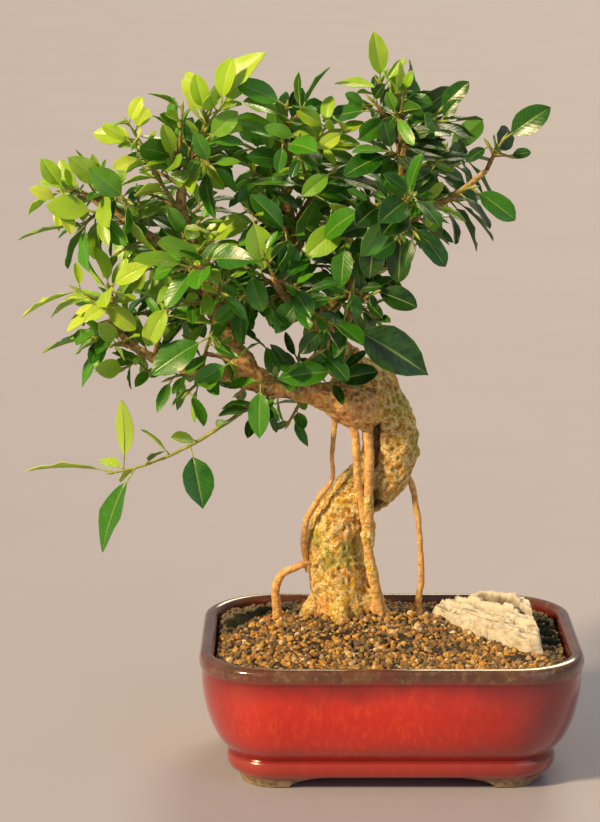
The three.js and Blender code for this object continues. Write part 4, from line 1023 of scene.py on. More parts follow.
@dataclass
class Ground:
    """The earth in the pot, its loose grains and its moss.

    A layer of grains is its piece's name, the places tried, the least and the most radius, how far their
    middles lie above the earth as a share of the radius, and how finely each is made. The gaps to the wall,
    the moss and the other pieces are shares of a radius too. A moss cushion is a place and a radius.
    """

    layers: tuple = (
        ("grains", 2550, (1.2, 2.0), 0.35, 2),
        ("grains_under", 6000, (1.1, 1.9), -0.3, 1),
    )
    seed: int = 5
    crease: float = 35
    wall_gap: float = 0.95
    moss_gap: float = 0.85
    solid_gap: float = 0.75
    squash: tuple = (0.58, 1.2)
    jag: float = 0.25
    moss_flat: tuple = (1, 0.85, 0.5)
    moss_shoot: float = 0.28
    edge: float = 66
    half_x: float = 96.4
    half_y: float = 70.4
    corner: float = 33.4
    moss: tuple = (
        (-86, 22, 7.5), (-77, 34, 6.5), (-70, 42, 7), (-84, 36, 4.5), (-58, 40, 4), (88, 10, 7),
        (90, -3, 5.5), (86, 22, 6), (88, 33, 5), (-4, 50, 5), (28, 44, 5), (-44, 8, 3), (8, 8, 2.6),
        (-88, 8, 4),
    )

    def inside(self, points: Array, margin: float) -> Array:
        """Whether places lie inside the pot's wall by a margin."""
        beyond = np.abs(points[:, :2]) - (self.half_x - self.corner, self.half_y - self.corner)
        reach = np.linalg.norm(np.maximum(beyond, 0), axis=1) + np.minimum(beyond.max(axis=1), 0)
        return reach < self.corner - margin

    def level(self, points: Array) -> Array:
        """The earth's smooth height at places."""
        u, v = (points[:, 0] + 20) / 60, (points[:, 1] - 20) / 45
        return self.edge + 12 * np.exp(-u * u - v * v)

    def scatter(self, count: int, size: tuple, sunk: float, seed: int, solids: list, detail: int) -> Shape:
        """Lays grains on the earth.

        Args:
            count: How many places are tried.
            size: The least and the most radius of a grain.
            sunk: How far their middles lie above the earth, as a share of the radius.
            seed: The seed of the draw.
            solids: Search trees of the pieces that no grain may lie in.
            detail: How finely each grain is made.

        Returns:
            The grains in one shape, with a tone for each.
        """
        draw = np.random.default_rng(seed)
        flat = np.column_stack([draw.uniform(-97, 97, count), draw.uniform(-71, 71, count), np.zeros(count)])
        radius = draw.uniform(*size, count)
        height = self.level(flat)
        flat[:, 2] = height + sunk * radius + 0.9 * lumps(flat, 9, 3)
        keep = self.inside(flat, radius * self.wall_gap)
        for x, y, size in self.moss:
            keep &= np.hypot(flat[:, 0] - x, flat[:, 1] - y) > size * self.moss_gap
        for i in np.flatnonzero(keep):
            spot = Vector((flat[i] * MM + POT_MIDDLE).tolist())
            for tree in solids:
                near, normal, _, distance = tree.find_nearest(spot)
                if distance < radius[i] * self.solid_gap * MM or (spot - near).dot(normal) < 0:
                    keep[i] = False
                    break
        flat, radius = flat[keep], radius[keep]
        number = len(flat)
        base, faces = ball(detail)
        turn = np.linalg.qr(draw.normal(size=(number, 3, 3)))[0]
        squash = draw.uniform(*self.squash, (number, 1, 3))
        jag = 1 + self.jag * draw.uniform(-1, 1, (number, len(base), 1))
        grains = np.einsum("nij,nkj->nki", turn, base[None] * squash * jag) * radius[:, None, None]
        grains += flat[:, None]
        flipped = np.linalg.det(turn) < 0
        all_faces = np.repeat(faces[None], number, 0)
        all_faces[flipped] = all_faces[flipped][:, :, ::-1]
        all_faces = (all_faces + np.arange(number)[:, None, None] * len(base)).reshape(-1, 3)
        tone = draw.uniform(0, 1, number)
        # the grains turn darker at the right end, at the back left and behind the trunk
        darker_ground = ease(flat[:, 0] + 0.2 * flat[:, 1], 73, 83) + ease(-flat[:, 0] + 0.8 * flat[:, 1], 88, 104)
        darker_ground += 0.7 * ease(np.hypot(flat[:, 0] + 18, flat[:, 1] - 44), 26, 12)
        tone = tone * (1 - 0.9 * np.clip(darker_ground, 0, 1))
        shape = Shape()
        shape.add(grains.reshape(-1, 3), all_faces, tone=np.repeat(tone, len(base)))
        return shape

    def build_moss(self) -> Shape:
        """Makes the moss cushions, each a low dome covered with small shoots."""
        draw = np.random.default_rng(self.seed + 20)
        base, faces = ball(3)
        shape = Shape()
        for x, y, size in self.moss:
            centre = np.array([x, y, 0.0])
            centre[2] = self.level(centre[None])[0] - 0.4
            spread = size * np.array(self.moss_flat)
            dome = base * spread
            dome *= 1 + 0.16 * lumps(base, 0.45, int(x))[:, None]
            shape.add(dome + centre, faces, tip=0.0)
            count = int(size * size * 5)
            heading = unit(draw.normal(size=(count, 3)) + (0, 0, 0.9))
            heading[:, 2] = np.abs(heading[:, 2])
            foot = centre + heading * spread * 0.96
            lean = unit(heading + draw.normal(scale=0.35, size=(count, 3)))
            lean[:, 2] = np.abs(lean[:, 2])
            aside = unit(np.cross(lean, (0.3, 0.5, 0.8)))
            over = np.cross(lean, aside)
            length = draw.uniform(0.9, 2.0, count)[:, None]
            turns = np.arange(3) * 2 * np.pi / 3
            corners = [foot + self.moss_shoot * (np.cos(a) * aside + np.sin(a) * over) for a in turns]
            spike = np.stack([*corners, foot + lean * length], 1).reshape(-1, 3)
            pattern = np.array([[0, 2, 1], [0, 1, 3], [1, 2, 3], [2, 0, 3]])
            spike_faces = (pattern[None] + 4 * np.arange(count)[:, None, None]).reshape(-1, 3)
            shape.add(spike, spike_faces, tip=np.tile([0.1, 0.1, 0.1, 1.0], count))
        return shape

    def dress(self, wood: list[bpy.types.Object], rock: bpy.types.Object) -> list[bpy.types.Object]:
        """Covers the earth.

        Args:
            wood: The trunk and roots, which grains keep clear of.
            rock: The rock, likewise.

        Returns:
            The new pieces.
        """
        refinish("soil", DARK_EARTH.make())
        graph = bpy.context.evaluated_depsgraph_get()
        solids = [BVHTree.FromObject(piece, graph) for piece in [*wood, rock]]
        grit = GritFinish().make()
        pieces = []
        for i, (name, count, size, sunk, detail) in enumerate(self.layers):
            layer = self.scatter(count, size, sunk, self.seed + i, solids, detail)
            pieces.append(dress(layer.build(name, self.crease), grit, Slot.SOIL))
        pieces.append(dress(self.build_moss().build("moss"), MossFinish().make(), Slot.SOIL))
        return pieces


@dataclass
class DrainScreens:
    """The plastic mesh over each drain hole, kept from the CAD part."""

    nodes: tuple = ("drain_screen_left", "drain_screen_right")

    def dress(self) -> None:
        """Gives both screens their plastic."""
        plastic = SCREEN_PLASTIC.make()
        for node in self.nodes:
            refinish(node, plastic)


@dataclass
class Rock:
    """The slab of layered rock, with ridges that run beside its long straight front.

    front is the way across the ridges, ridges their heights along it, and cracks where they lie and how deep.
    """

    x: float = 57
    y: float = 2
    z: float = 64
    height: float = 21
    buried: float = 2
    outline: tuple = (
        (-33, 36), (-14, 8), (8, -16), (20, -28), (27, -27), (27, -5), (25, 22), (17, 37), (-4, 44),
        (-22, 44),
    )
    front: tuple = (0.73, 0.68)
    ridges: tuple = (
        (-8, 5), (-5, 8.5), (-1, 10), (4, 12), (8, 13.5), (10.5, 12.5), (12, 7.5), (14, 9), (16.5, 15.5),
        (19, 16), (20.5, 12.5), (23, 19), (26, 20), (28, 16.5), (31, 18), (36, 12),
    )
    cracks: tuple = ((12.2, 5.0), (20.4, 4.4), (28.2, 3.6))
    detail: int = 7

    def reach(self, angle: Array) -> Array:
        """How far the outline lies from its middle in each direction."""
        dx, dy = np.cos(angle), np.sin(angle)
        corners = np.array(self.outline, float)
        best = np.zeros(len(angle))
        for (x, y), (next_x, next_y) in zip(corners, np.roll(corners, -1, axis=0)):
            edge_x, edge_y = next_x - x, next_y - y
            turn = dx * edge_y - dy * edge_x
            turn = np.where(np.abs(turn) < 1e-9, 1e-9, turn)
            along = (x * dy - y * dx) / turn
            out = (x * edge_y - y * edge_x) / turn
            best = np.where((along >= 0) & (along <= 1), np.maximum(best, out), best)
        return best

    def build(self) -> bpy.types.Object:
        """Makes the rock's mesh out of a fine ball."""
        points, faces = ball(self.detail)
        u, v, w = points.T
        turned = np.arctan2(v, u)
        ring = np.column_stack([np.cos(turned) * 20, np.sin(turned) * 20, np.zeros(len(u))])
        reach = self.reach(turned) * (1 + 0.025 * lumps(ring, 6, 1)) + 0.5 * lumps(ring, 2.2, 2)
        spread = np.hypot(u, v)
        x, y = u * reach, v * reach
        across = x * self.front[0] + y * self.front[1]
        along = -x * self.front[1] + y * self.front[0]
        place = np.column_stack([across, along, np.zeros(len(x))])
        bent = across + 1.3 * lumps(place, (9, 24, 9), 4) + 0.04 * along
        ridges = np.interp(bent, *np.array(self.ridges).T)
        ridges -= 2.4 * ease(lumps(place, (14, 9, 9), 15), 0.2, 0.5) * ease(bent, 10, 20)
        strata = 1.9 * (1 - 2 * np.abs(lumps(place, (2.6, 26, 3), 5))) + 0.5 * lumps(place, (0.9, 9, 2), 6)
        steps = np.floor(along / 9 + 0.8 * lumps(place, (7, 30, 7), 9))
        chips = 1.6 * lumps(np.column_stack([steps * 3.7, bent * 0.2, steps]), 1.3, 8)
        crack = np.zeros(len(x))
        lift = ease(1 - spread, 0, 0.13) ** 0.6
        within = 0.15 + 0.85 * ease(1 - spread, 0.02, 0.25)
        for line, depth in self.cracks:
            gap = np.exp(-(((bent - line) / 1.05) ** 2))
            gap *= 0.4 + 0.6 * ease(lumps(place * (0, 1, 0), 12, int(line) + 3), -0.6, 0.2)
            # painted shadow that climbs the face of the ridge behind each of the cracks
            shade = np.exp(-(((bent - line - 1.1) / 1.5) ** 2)) * ease(lumps(place, (5, 9, 5), 21), -0.7, 0.1)
            crack = np.maximum(crack, shade * within * ease(w, 0.06, 0.2))
            ridges = ridges - depth * gap * within
        upper = (ridges + strata + chips) * lift
        z = np.where(w > 0, self.buried + np.maximum(upper, 0.2), self.buried * np.maximum(1 + w, 0))
        solid = np.column_stack([x, y, z])
        z = z + 0.35 * lumps(solid, 1.5, 7) * lift
        x = x + 0.45 * lumps(solid, 2.6, 12)
        y = y + 0.45 * lumps(solid, 2.6, 13)
        shape = Shape()
        shape.add(np.column_stack([x + self.x, y + self.y, z + self.z]), faces, crack=crack)
        return shape.build("rock_slab")

    def dress(self) -> bpy.types.Object:
        """Builds the rock and gives it its stone."""
        return dress(self.build(), RockFinish().make(), Slot.ROCK, "rock")


# ------------------------------------------------------------------------------------------------ wood

# Limbs and aerial roots of the tree: each runs through (x, y, z, radius)
LIMBS = {
    "trunk": (
        (-25, 28, 50, 18), (-25, 28, 75, 18.5), (-28, 28, 94, 16.4), (-30, 28, 112, 15.8),
        (-28, 28, 128, 15.4), (-18, 27, 143, 14.2), (-5, 27, 156, 15), (1, 26, 173, 14.6), (-1, 25, 191, 13),
        (-9, 23, 207, 11.5), (-21, 21, 217, 10.5), (-33, 24, 229, 8),
    ),
    "top": (
        (-28, 22, 222, 8), (-43, 25, 248, 6), (-50, 20, 272, 4.6), (-55, 18, 296, 3.4), (-58, 15, 318, 2.4),
        (-60, 12, 338, 1.6),
    ),
    "crown": (
        (-40, 25, 242, 5.5), (-26, 16, 264, 5), (-12, 10, 286, 4.6), (-2, 5, 306, 5), (4, 5, 328, 3.4),
        (6, 5, 346, 2.4), (2, 3, 360, 1.6),
    ),
    "right": (
        (-4, 6, 302, 3.4), (10, 0, 310, 2.8), (23, -5, 312, 2.2), (37, -9, 321, 1.8), (50, -12, 332, 1.5),
    ),
    "rightLow": ((-28, 18, 262, 3), (-22, 2, 262, 2.2), (-22, -10, 256, 1.8), (-24, -16, 250, 1.5)),
    "left": (
        (-4, 24, 196, 5), (-13, 15, 196, 10.5), (-24, 12, 200, 11), (-35, 10, 204, 7.6), (-45, 8, 207, 5.8),
        (-57, 4, 209, 5), (-71, 0, 214, 6.2), (-84, 0, 223, 8.2),
    ),
    "leftRiser": (
        (-80, 0, 219, 7.5), (-91, 4, 238, 6.5), (-95, 8, 256, 5.2), (-102, 5, 276, 4.4), (-110, 0, 294, 3.6),
        (-114, -3, 315, 2.8), (-110, -3, 334, 2.2), (-103, 0, 350, 1.6),
    ),
    "leftLow": (
        (-80, 0, 219, 5), (-104, -8, 221, 3.4), (-126, -12, 228, 2.6), (-142, -14, 238, 2.2),
        (-151, -14, 250, 1.8), (-152, -12, 264, 1.5),
    ),
    "leftOut": (
        (-101, 5, 274, 3.8), (-122, 0, 289, 2.8), (-142, 0, 301, 2.3), (-158, 3, 312, 1.9),
        (-168, 4, 318, 1.5),
    ),
    "backLeft": ((-92, 5, 244, 4.2), (-104, 26, 256, 3.2), (-115, 43, 269, 2.4), (-122, 55, 282, 1.6)),
    "backMid": ((-46, 24, 256, 4.6), (-48, 44, 270, 3.6), (-52, 60, 288, 2.7), (-56, 70, 303, 1.7)),
    "backRight": ((-14, 11, 281, 4), (4, 30, 291, 3.2), (18, 46, 304, 2.4), (25, 56, 317, 1.6)),
    "frontLeft": ((-94, 7, 252, 3.6), (-98, -14, 260, 2.8), (-100, -32, 268, 2.1), (-99, -44, 279, 1.5)),
    "frontMid": ((-44, 24, 250, 3.6), (-53, 4, 256, 2.8), (-60, -14, 266, 2.2), (-64, -30, 276, 1.5)),
    "frontRight": ((-4, 6, 300, 3.4), (0, -14, 304, 2.5), (5, -30, 311, 1.6)),
    "strandFront": (
        (-22, 12, 194, 3), (-19, 7, 176, 2.3), (-18, 8, 158, 2.2), (-15, 11, 140, 2.4), (-12, 13, 120, 2.6),
        (-9, 15, 100, 3), (-5, 17, 78, 3.4), (-3, 17, 56, 2.6),
    ),
    "strandInner": (
        (-13, 16, 194, 3.4), (-12, 9, 173, 2.9), (-12, 9, 155, 2.8), (-12, 11, 138, 2.8),
        (-11, 14, 118, 2.6),
    ),
    "strandLeft": (
        (-30, 12, 196, 1.8), (-32, 12, 172, 1.2), (-32, 12, 157, 1.3), (-40, 13, 145, 1.7),
        (-46, 16, 132, 1.8), (-48, 19, 117, 1.8), (-45, 23, 101, 2.2),
    ),
    "kneeRoot": (
        (-41, 24, 108, 2.4), (-52, 20, 104, 2), (-60, 19, 100, 2.1), (-64, 20, 90, 2.3), (-63, 23, 76, 2.8),
        (-62, 24, 56, 2.2),
    ),
    "propRoot": (
        (7, 27, 159, 2.6), (13, 26, 151, 1.9), (16, 25, 136, 1.6), (18, 26, 115, 1.6), (19, 29, 94, 1.7),
        (17, 33, 76, 2), (17, 34, 56, 1.6),
    ),
    "backRoot": (
        (-17, 40, 146, 2.6), (-23, 48, 130, 1.9), (-29, 51, 106, 1.9), (-32, 51, 80, 2.3),
        (-32, 50, 56, 1.8),
    ),
    "flareRight": ((-18, 24, 94, 7), (-9, 22, 81, 6), (1, 21, 71, 4.6), (12, 19, 58, 3)),
    "flareLeft": ((-35, 26, 92, 6), (-43, 24, 79, 5.4), (-51, 20, 67, 3.8), (-58, 16, 56, 2.4)),
    "flareFront": ((-27, 21, 90, 7), (-27, 12, 79, 6), (-25, 3, 69, 4.4), (-22, -6, 57, 2.8)),
    "flareBack": ((-24, 38, 90, 7), (-22, 46, 76, 5), (-19, 53, 62, 3.4)),
}
AERIAL = ("strandFront", "strandInner", "strandLeft", "kneeRoot", "propRoot", "backRoot")


@dataclass(frozen=True)
class Mark:
    """A place on the bark that is coloured or shaped by itself, and may run on to another place."""

    kind: str
    x: float
    y: float
    z: float
    size: float
    push: float = 0.0
    to: tuple | None = None

    def distance(self, points: Array) -> Array:
        """How far points lie from the mark's middle line."""
        start = np.array([self.x, self.y, self.z], float)
        if self.to is None:
            return np.linalg.norm(points - start, axis=1)
        way = np.array(self.to) - start
        share = np.clip((points - start) @ way / (way @ way), 0, 1)
        return np.linalg.norm(points - start - share[:, None] * way, axis=1)


MARKS = (
    Mark("algae", -21, 14, 113, 13), Mark("algae", -33, 14, 110, 9), Mark("algae", 8, 16, 203, 15),
    Mark("algae", 14, 20, 176, 10), Mark("algae", -38, 20, 122, 9), Mark("algae", -10, 16, 122, 8),
    Mark("algae", -92, 4, 250, 10), Mark("algae", -14, 30, 222, 14), Mark("algae", -30, 44, 120, 14),
    # dark marks paint shade: near black in the crevice and holes, which they also push in
    Mark("dark", -5, 17, 139, 5.6, -4), Mark("dark", -7.5, 16, 144, 5, -2, (-8, 15, 206)),
    Mark("dark", -58, 2, 205, 4.2, -0.8), Mark("dark", -5, 40, 150, 4.4, -2),
    Mark("dark", -10, 15, 208, 3.2, -1),
    Mark("orange", -25, 4, 199, 17), Mark("orange", -12, 8, 200, 9), Mark("orange", -42, 8, 206, 13),
    Mark("orange", -60, 4, 210, 11), Mark("orange", -80, 0, 227, 22), Mark("orange", -85, 5, 274, 14),
    Mark("orange", -110, 0, 278, 12), Mark("orange", -5, 10, 311, 13), Mark("orange", -38, 14, 82, 8),
    Mark("orange", -8, 14, 80, 9), Mark("orange", -50, 22, 270, 10), Mark("orange", -22, 14, 285, 12),
    Mark("bulge", -25, 5, 200, 9, 1.6), Mark("bulge", -80, -4, 226, 10, 2.2),
    Mark("bulge", -90, 4, 236, 8, 1.5), Mark("bulge", -71, -3, 219, 6, 1.4),
    Mark("bulge", 13, 24, 169, 7, 2.2), Mark("bulge", 0, 22, 212, 8, 1.6), Mark("bulge", -39, 20, 92, 8, 1.2),
    Mark("bulge", -3, 5, 306, 5, 1.2), Mark("bulge", -10, 14, 130, 5, 1.0),
)


@dataclass
class Wood:
    """The trunk with its limbs in one skin, and the aerial roots that hang from them.

    merged holds below which height a root is also part of the skin, relief the heights, sizes and seeds of
    the bark's lumps, and toes how far out and down the split ends of a root run, and how thick.
    """

    voxel: float = 0.88
    step: float = 2.2
    sides: int = 28
    merged: dict = field(default_factory=lambda: {"strandInner": 150, "strandFront": 128})
    relief: tuple = ((1.3, (9, 9, 13), 1), (1.0, (4.4, 4.4, 5.5), 2), (0.3, 1.3, 4))
    creases: float = 0.85
    crease_size: tuple = (3, 3, 3.8)
    root_step: float = 0.9
    root_sides: int = 14
    toes: tuple = ((0, 0, 1.3), (5, 7, 1.0), (9, 16, 0.7))

    def limb(self, name: str) -> Array:
        """A limb's fine route."""
        return smooth_route(LIMBS[name], self.step)

    def solid_names(self) -> list[str]:
        """The limbs that share the trunk's skin."""
        return [name for name in LIMBS if name not in AERIAL]

    def build_trunk(self) -> bpy.types.Object:
        """Skins the trunk and limbs together, then roughens the bark."""
        shape = Shape()
        routes = []
        turn = 2 * np.pi * np.arange(self.sides) / self.sides
        for seed, name in enumerate(self.solid_names()):
            rows = self.limb(name)
            routes.append(rows)
            around = np.column_stack([np.cos(turn) * 3, np.sin(turn) * 3, np.zeros(self.sides)])
            ring = np.array([1 + 0.07 * lumps(around + (0, 0, z / 22), 1.7, seed) for z in rows[:, 2]])
            add_tube(shape, rows[:, :3], rows[:, 3, None] * ring, self.sides)
        for name, below in self.merged.items():
            rows = self.limb(name)
            rows = rows[rows[:, 2] < below]
            add_tube(shape, rows[:, :3], rows[:, 3], 12)
        trunk = shape.build("trunk_and_limbs")
        skin = trunk.modifiers.new("skin", "REMESH")
        skin.mode, skin.voxel_size = "VOXEL", self.voxel * MM
        soft = trunk.modifiers.new("soft", "SMOOTH")
        soft.factor, soft.iterations = 0.5, 4
        apply_modifiers(trunk)
        self.roughen(trunk, np.vstack(routes))
        return trunk

    def roughen(self, trunk: bpy.types.Object, rows: Array) -> None:
        """Pushes the bark in and out and paints its marks.

        Args:
            trunk: The skinned wood.
            rows: All routes in it, as rows of x, y, z and radius.
        """
        points = mesh_points(trunk)
        tree = KDTree(len(rows))
        for i, row in enumerate(rows):
            tree.insert(row[:3], i)
        tree.balance()
        nearest = np.array([tree.find(point)[1] for point in points])
        radius = rows[nearest, 3]
        normals = np.empty(len(points) * 3, np.float32)
        trunk.data.vertices.foreach_get("normal", normals)
        normals = normals.reshape(-1, 3).astype(float)
        strength = np.clip(radius / 9, 0.12, 1)
        relief = sum(height * lumps(points, size, seed) for height, size, seed in self.relief)
        relief += self.creases * (1 - 2 * np.abs(lumps(points, self.crease_size, 3)))
        push = relief * strength
        painted = {kind: np.zeros(len(points)) for kind in ("algae", "dark", "orange")}
        for mark in MARKS:
            away = mark.distance(points)
            share = ease(away + 0.18 * mark.size * lumps(points, 3, 5), mark.size, mark.size * 0.35)
            if mark.kind in painted:
                painted[mark.kind] = np.maximum(painted[mark.kind], share)
            push += mark.push * ease(away, mark.size, mark.size * 0.2)
        painted["orange"] *= 0.85
        # the painted shade of the dark marks, softened
        painted["dark"] *= 0.8
        painted["thin"] = ease(radius, 7, 3.4) * (1 - painted["orange"])
        moved = points + normals * push[:, None]
        trunk.data.vertices.foreach_set("co", (moved * MM + POT_MIDDLE).astype(np.float32).ravel())
        paint(trunk.data, painted)
        trunk.data.update()
        trunk.data.shade_smooth()

    def build_roots(self) -> bpy.types.Object:
        """Makes the aerial roots, knobbly strands that taper and fork into the soil."""
        shape = Shape()
        turn = 2 * np.pi * np.arange(self.root_sides) / self.root_sides
        ring = np.stack([np.cos(turn), np.sin(turn), np.zeros(self.root_sides)], -1)
        for seed, name in enumerate(AERIAL):
            rows = smooth_route(LIMBS[name], self.root_step)
            line, thickness = rows[:, :3], rows[:, 3]
            sway = np.stack([lumps(line, 9, seed), lumps(line, 9, seed + 9), np.zeros(len(rows))], -1)
            path = line + sway * 0.5
            around = path[:, None] + ring * thickness[:, None, None]
            knob = 0.16 * lumps(around, 5, seed) + 0.12 * lumps(around, 1.9, seed + 1)
            bark = {"orange": 0.75 + 0.25 * lumps(line, 8, 2), "algae": 0.4 * ease(line[:, 2], 90, 60)}
            radii = thickness[:, None] * (1 + knob)
            add_tube(shape, path, radii, self.root_sides, dark=0.0, thin=0.0, **bark)
            if line[-1, 2] >= 60:
                continue
            for k in range(3):
                angle = seed * 1.7 + k * 2.1
                way = np.array([np.cos(angle), np.sin(angle), 0])
                start = line[-1] + (0, 0, 21)
                toe = [(*(start + way * out - (0, 0, drop)), size) for out, drop, size in self.toes]
                toe = smooth_route(toe, 1.0)
                add_tube(shape, toe[:, :3], toe[:, 3], 8, orange=0.6, dark=0.0, algae=0.0, thin=0.0)
        return shape.build("aerial_roots")

    def dress(self) -> list[bpy.types.Object]:
        """Builds the wood and gives it its bark."""
        root_bark = BarkFinish("a05a1c", "d68c34", "e0a83c", "f6d084", "root_bark")
        trunk = dress(self.build_trunk(), BarkFinish().make(), Slot.BARK, "trunk")
        return [trunk, dress(self.build_roots(), root_bark.make(), Slot.BARK)]


# --------------------------------------------------------------------------------------------- foliage


@dataclass(frozen=True)
class Shoot:
    """A leafy shoot: the limb and the share of its steps that it grows from, and where its twigs end."""

    limb: str
    at: float
    ends: tuple
    young: bool = False
    sag: float | None = None
    old_tips: tuple = ()

    def twigs(self) -> list[tuple[Array, Array, Array]]:
        """The start, bend and end of each twig's curve."""
        route = np.array(LIMBS[self.limb], float)
        place = min(self.at, 0.99999) * (len(route) - 1)
        low = int(place)
        start = (route[low] + (route[low + 1] - route[low]) * (place - low))[:3]
        curves = []
        for i, end in enumerate(self.ends):
            end = np.array(end, float)
            if i == 1:
                start = bezier(*curves[0], np.array([0.45]))[0]
            bend = (start + end) / 2
            bend[2] += 0.1 * np.linalg.norm(end - start) if self.sag is None else self.sag
            curves.append((start, bend, end))
        return curves


SHOOTS = (
    Shoot("crown", 1, ((-7, 0, 377), (6, -6, 373)), young=True),
    Shoot("crown", 0.93, ((-15, -8, 365), (-11, -2, 368))),
    Shoot("crown", 0.88, ((5, -4, 369), (1, -12, 362))),
    Shoot("crown", 0.8, ((23, -6, 362), (25, -12, 358))),
    Shoot("crown", 0.72, ((-1, -16, 342), (5, -14, 350))),
    Shoot("crown", 0.64, ((24, -10, 337),)),
    Shoot("crown", 0.5, ((10, -14, 303), (5, -16, 302))),
    Shoot("crown", 0.36, ((-9, -16, 305), (-25, -18, 297))),
    Shoot("right", 1, ((58, -14, 348), (51, -14, 345), (61, -16, 340))),
    Shoot("right", 0.62, ((41, -16, 323),)),
    Shoot("right", 0.35, ((21, -14, 313),), young=True),
    Shoot("rightLow", 1, ((-27, -22, 251), (-22, -18, 269))),
    Shoot("rightLow", 0.5, ((-12, -16, 268), (-30, -20, 264))),
    Shoot("top", 1, ((-57, -2, 365), (-49, 0, 362))),
    Shoot("top", 0.86, ((-51, -8, 349), (-59, -12, 347))),
    Shoot("top", 0.76, ((-36, -4, 354), (-26, -10, 352)), young=True),
    Shoot("top", 0.6, ((-32, -14, 332), (-50, -16, 340))),
    Shoot("top", 0.44, ((-23, -14, 305),), young=True),
    Shoot("top", 0.34, ((-58, -14, 300), (-76, -14, 309))),
    Shoot("leftRiser", 1, ((-97, -2, 365), (-101, -4, 361)), young=True),
    Shoot("leftRiser", 0.9, ((-92, -8, 366),), young=True),
    Shoot("leftRiser", 0.82, ((-100, -14, 348), (-98, -16, 335))),
    Shoot("leftRiser", 0.74, ((-118, -12, 337), (-113, -8, 364))),
    Shoot("leftRiser", 0.62, ((-141, -10, 347), (-142, -6, 356)), young=True),
    Shoot("leftOut", 1, ((-178, -2, 320), (-180, -6, 315)), young=True),
    Shoot("leftOut", 0.84, ((-154, -8, 321), (-142, -18, 316))),
    Shoot("leftOut", 0.7, ((-168, -6, 301), (-158, -10, 309))),
    Shoot("leftLow", 1, ((-153, -16, 269),), young=True),
    Shoot("leftLow", 0.84, ((-169, -14, 267), (-151, -20, 261)), young=True),
    Shoot("leftLow", 0.68, ((-157, -16, 242),)),
    Shoot("leftLow", 0.44, ((-119, -24, 263),)),
    Shoot("leftLow", 0.2, ((-98, -26, 244), (-87, -20, 229))),
    Shoot("left", 0.6, ((-71, -16, 218), (-39, -22, 235))),
    Shoot("left", 0.45, ((-28, -20, 224),)),
    Shoot("frontMid", 1, ((-48, -30, 268), (-37, -28, 250))),
    Shoot("frontMid", 0.6, ((-77, -22, 280), (-82, -26, 264))),
    Shoot("leftRiser", 0.46, ((-95, -20, 298),), young=True),
    Shoot("left", 0.8, ((-152, -16, 167),), True, -17, ((-158, 124), (-124, 180), (-103, 148))),
    Shoot("backMid", 1, ((-60, 84, 322), (-42, 82, 318))),
    Shoot("backMid", 0.7, ((-30, 74, 296), (-74, 70, 290))),
    Shoot("backMid", 0.4, ((-66, 54, 262), (-28, 50, 270))),
    Shoot("backRight", 1, ((32, 66, 336), (42, 52, 332))),
    Shoot("backRight", 0.7, ((36, 36, 310), (2, 64, 312))),
    Shoot("backLeft", 1, ((-132, 66, 300), (-112, 70, 296))),
    Shoot("backLeft", 0.6, ((-140, 44, 270), (-108, 52, 250))),
    Shoot("leftRiser", 0.7, ((-120, 28, 346), (-98, 34, 342))),
    Shoot("leftOut", 0.5, ((-152, 28, 318), (-136, 36, 300))),
    Shoot("top", 0.68, ((-64, 42, 340), (-44, 46, 332))),
    Shoot("crown", 0.76, ((-4, 34, 358), (20, 32, 350))),
    Shoot("crown", 0.58, ((34, 12, 332), (30, 26, 318))),
    Shoot("leftLow", 0.6, ((-152, 12, 256), (-134, 18, 250))),
    Shoot("frontLeft", 1, ((-98, -54, 290), (-112, -48, 284))),
    Shoot("frontRight", 1, ((8, -44, 322), (-14, -42, 316))),
)


# Each age's slot, its four greens from dark to light, and its vein, underside, gloss and glow
GREENS = (
    (Age.MATURE, Slot.LEAF, ("0b2c05", "1c5a0a", "4c9216", "96ba2c"), ("8fae4a", "4f7f2a", 0.3, 0.25)),
    # the young greens are the paler green of young growth, and also painted light for the sunlit shoots on
    # the left and at the top
    (Age.YOUNG, Slot.YOUNG_LEAF, ("4f8a0e", "7cae18", "a2c626", "c8dc4c"), ("d3dc86", "a3bb4a", 0.36, 0.4)),
)


@dataclass
class Leaf:
    """One leaf: its midrib from the twig to the tip, the way of its edges and its half width."""

    base: Array
    bend: Array
    tip: Array
    side: Array
    half: float
    young: bool
    tone: float = 0.5
    added: bool = False


def clearance(wood: BVHTree, point: Array) -> float:
    """How far a point lies from the wood."""
    return wood.find_nearest((point * MM + POT_MIDDLE).tolist())[3] / MM


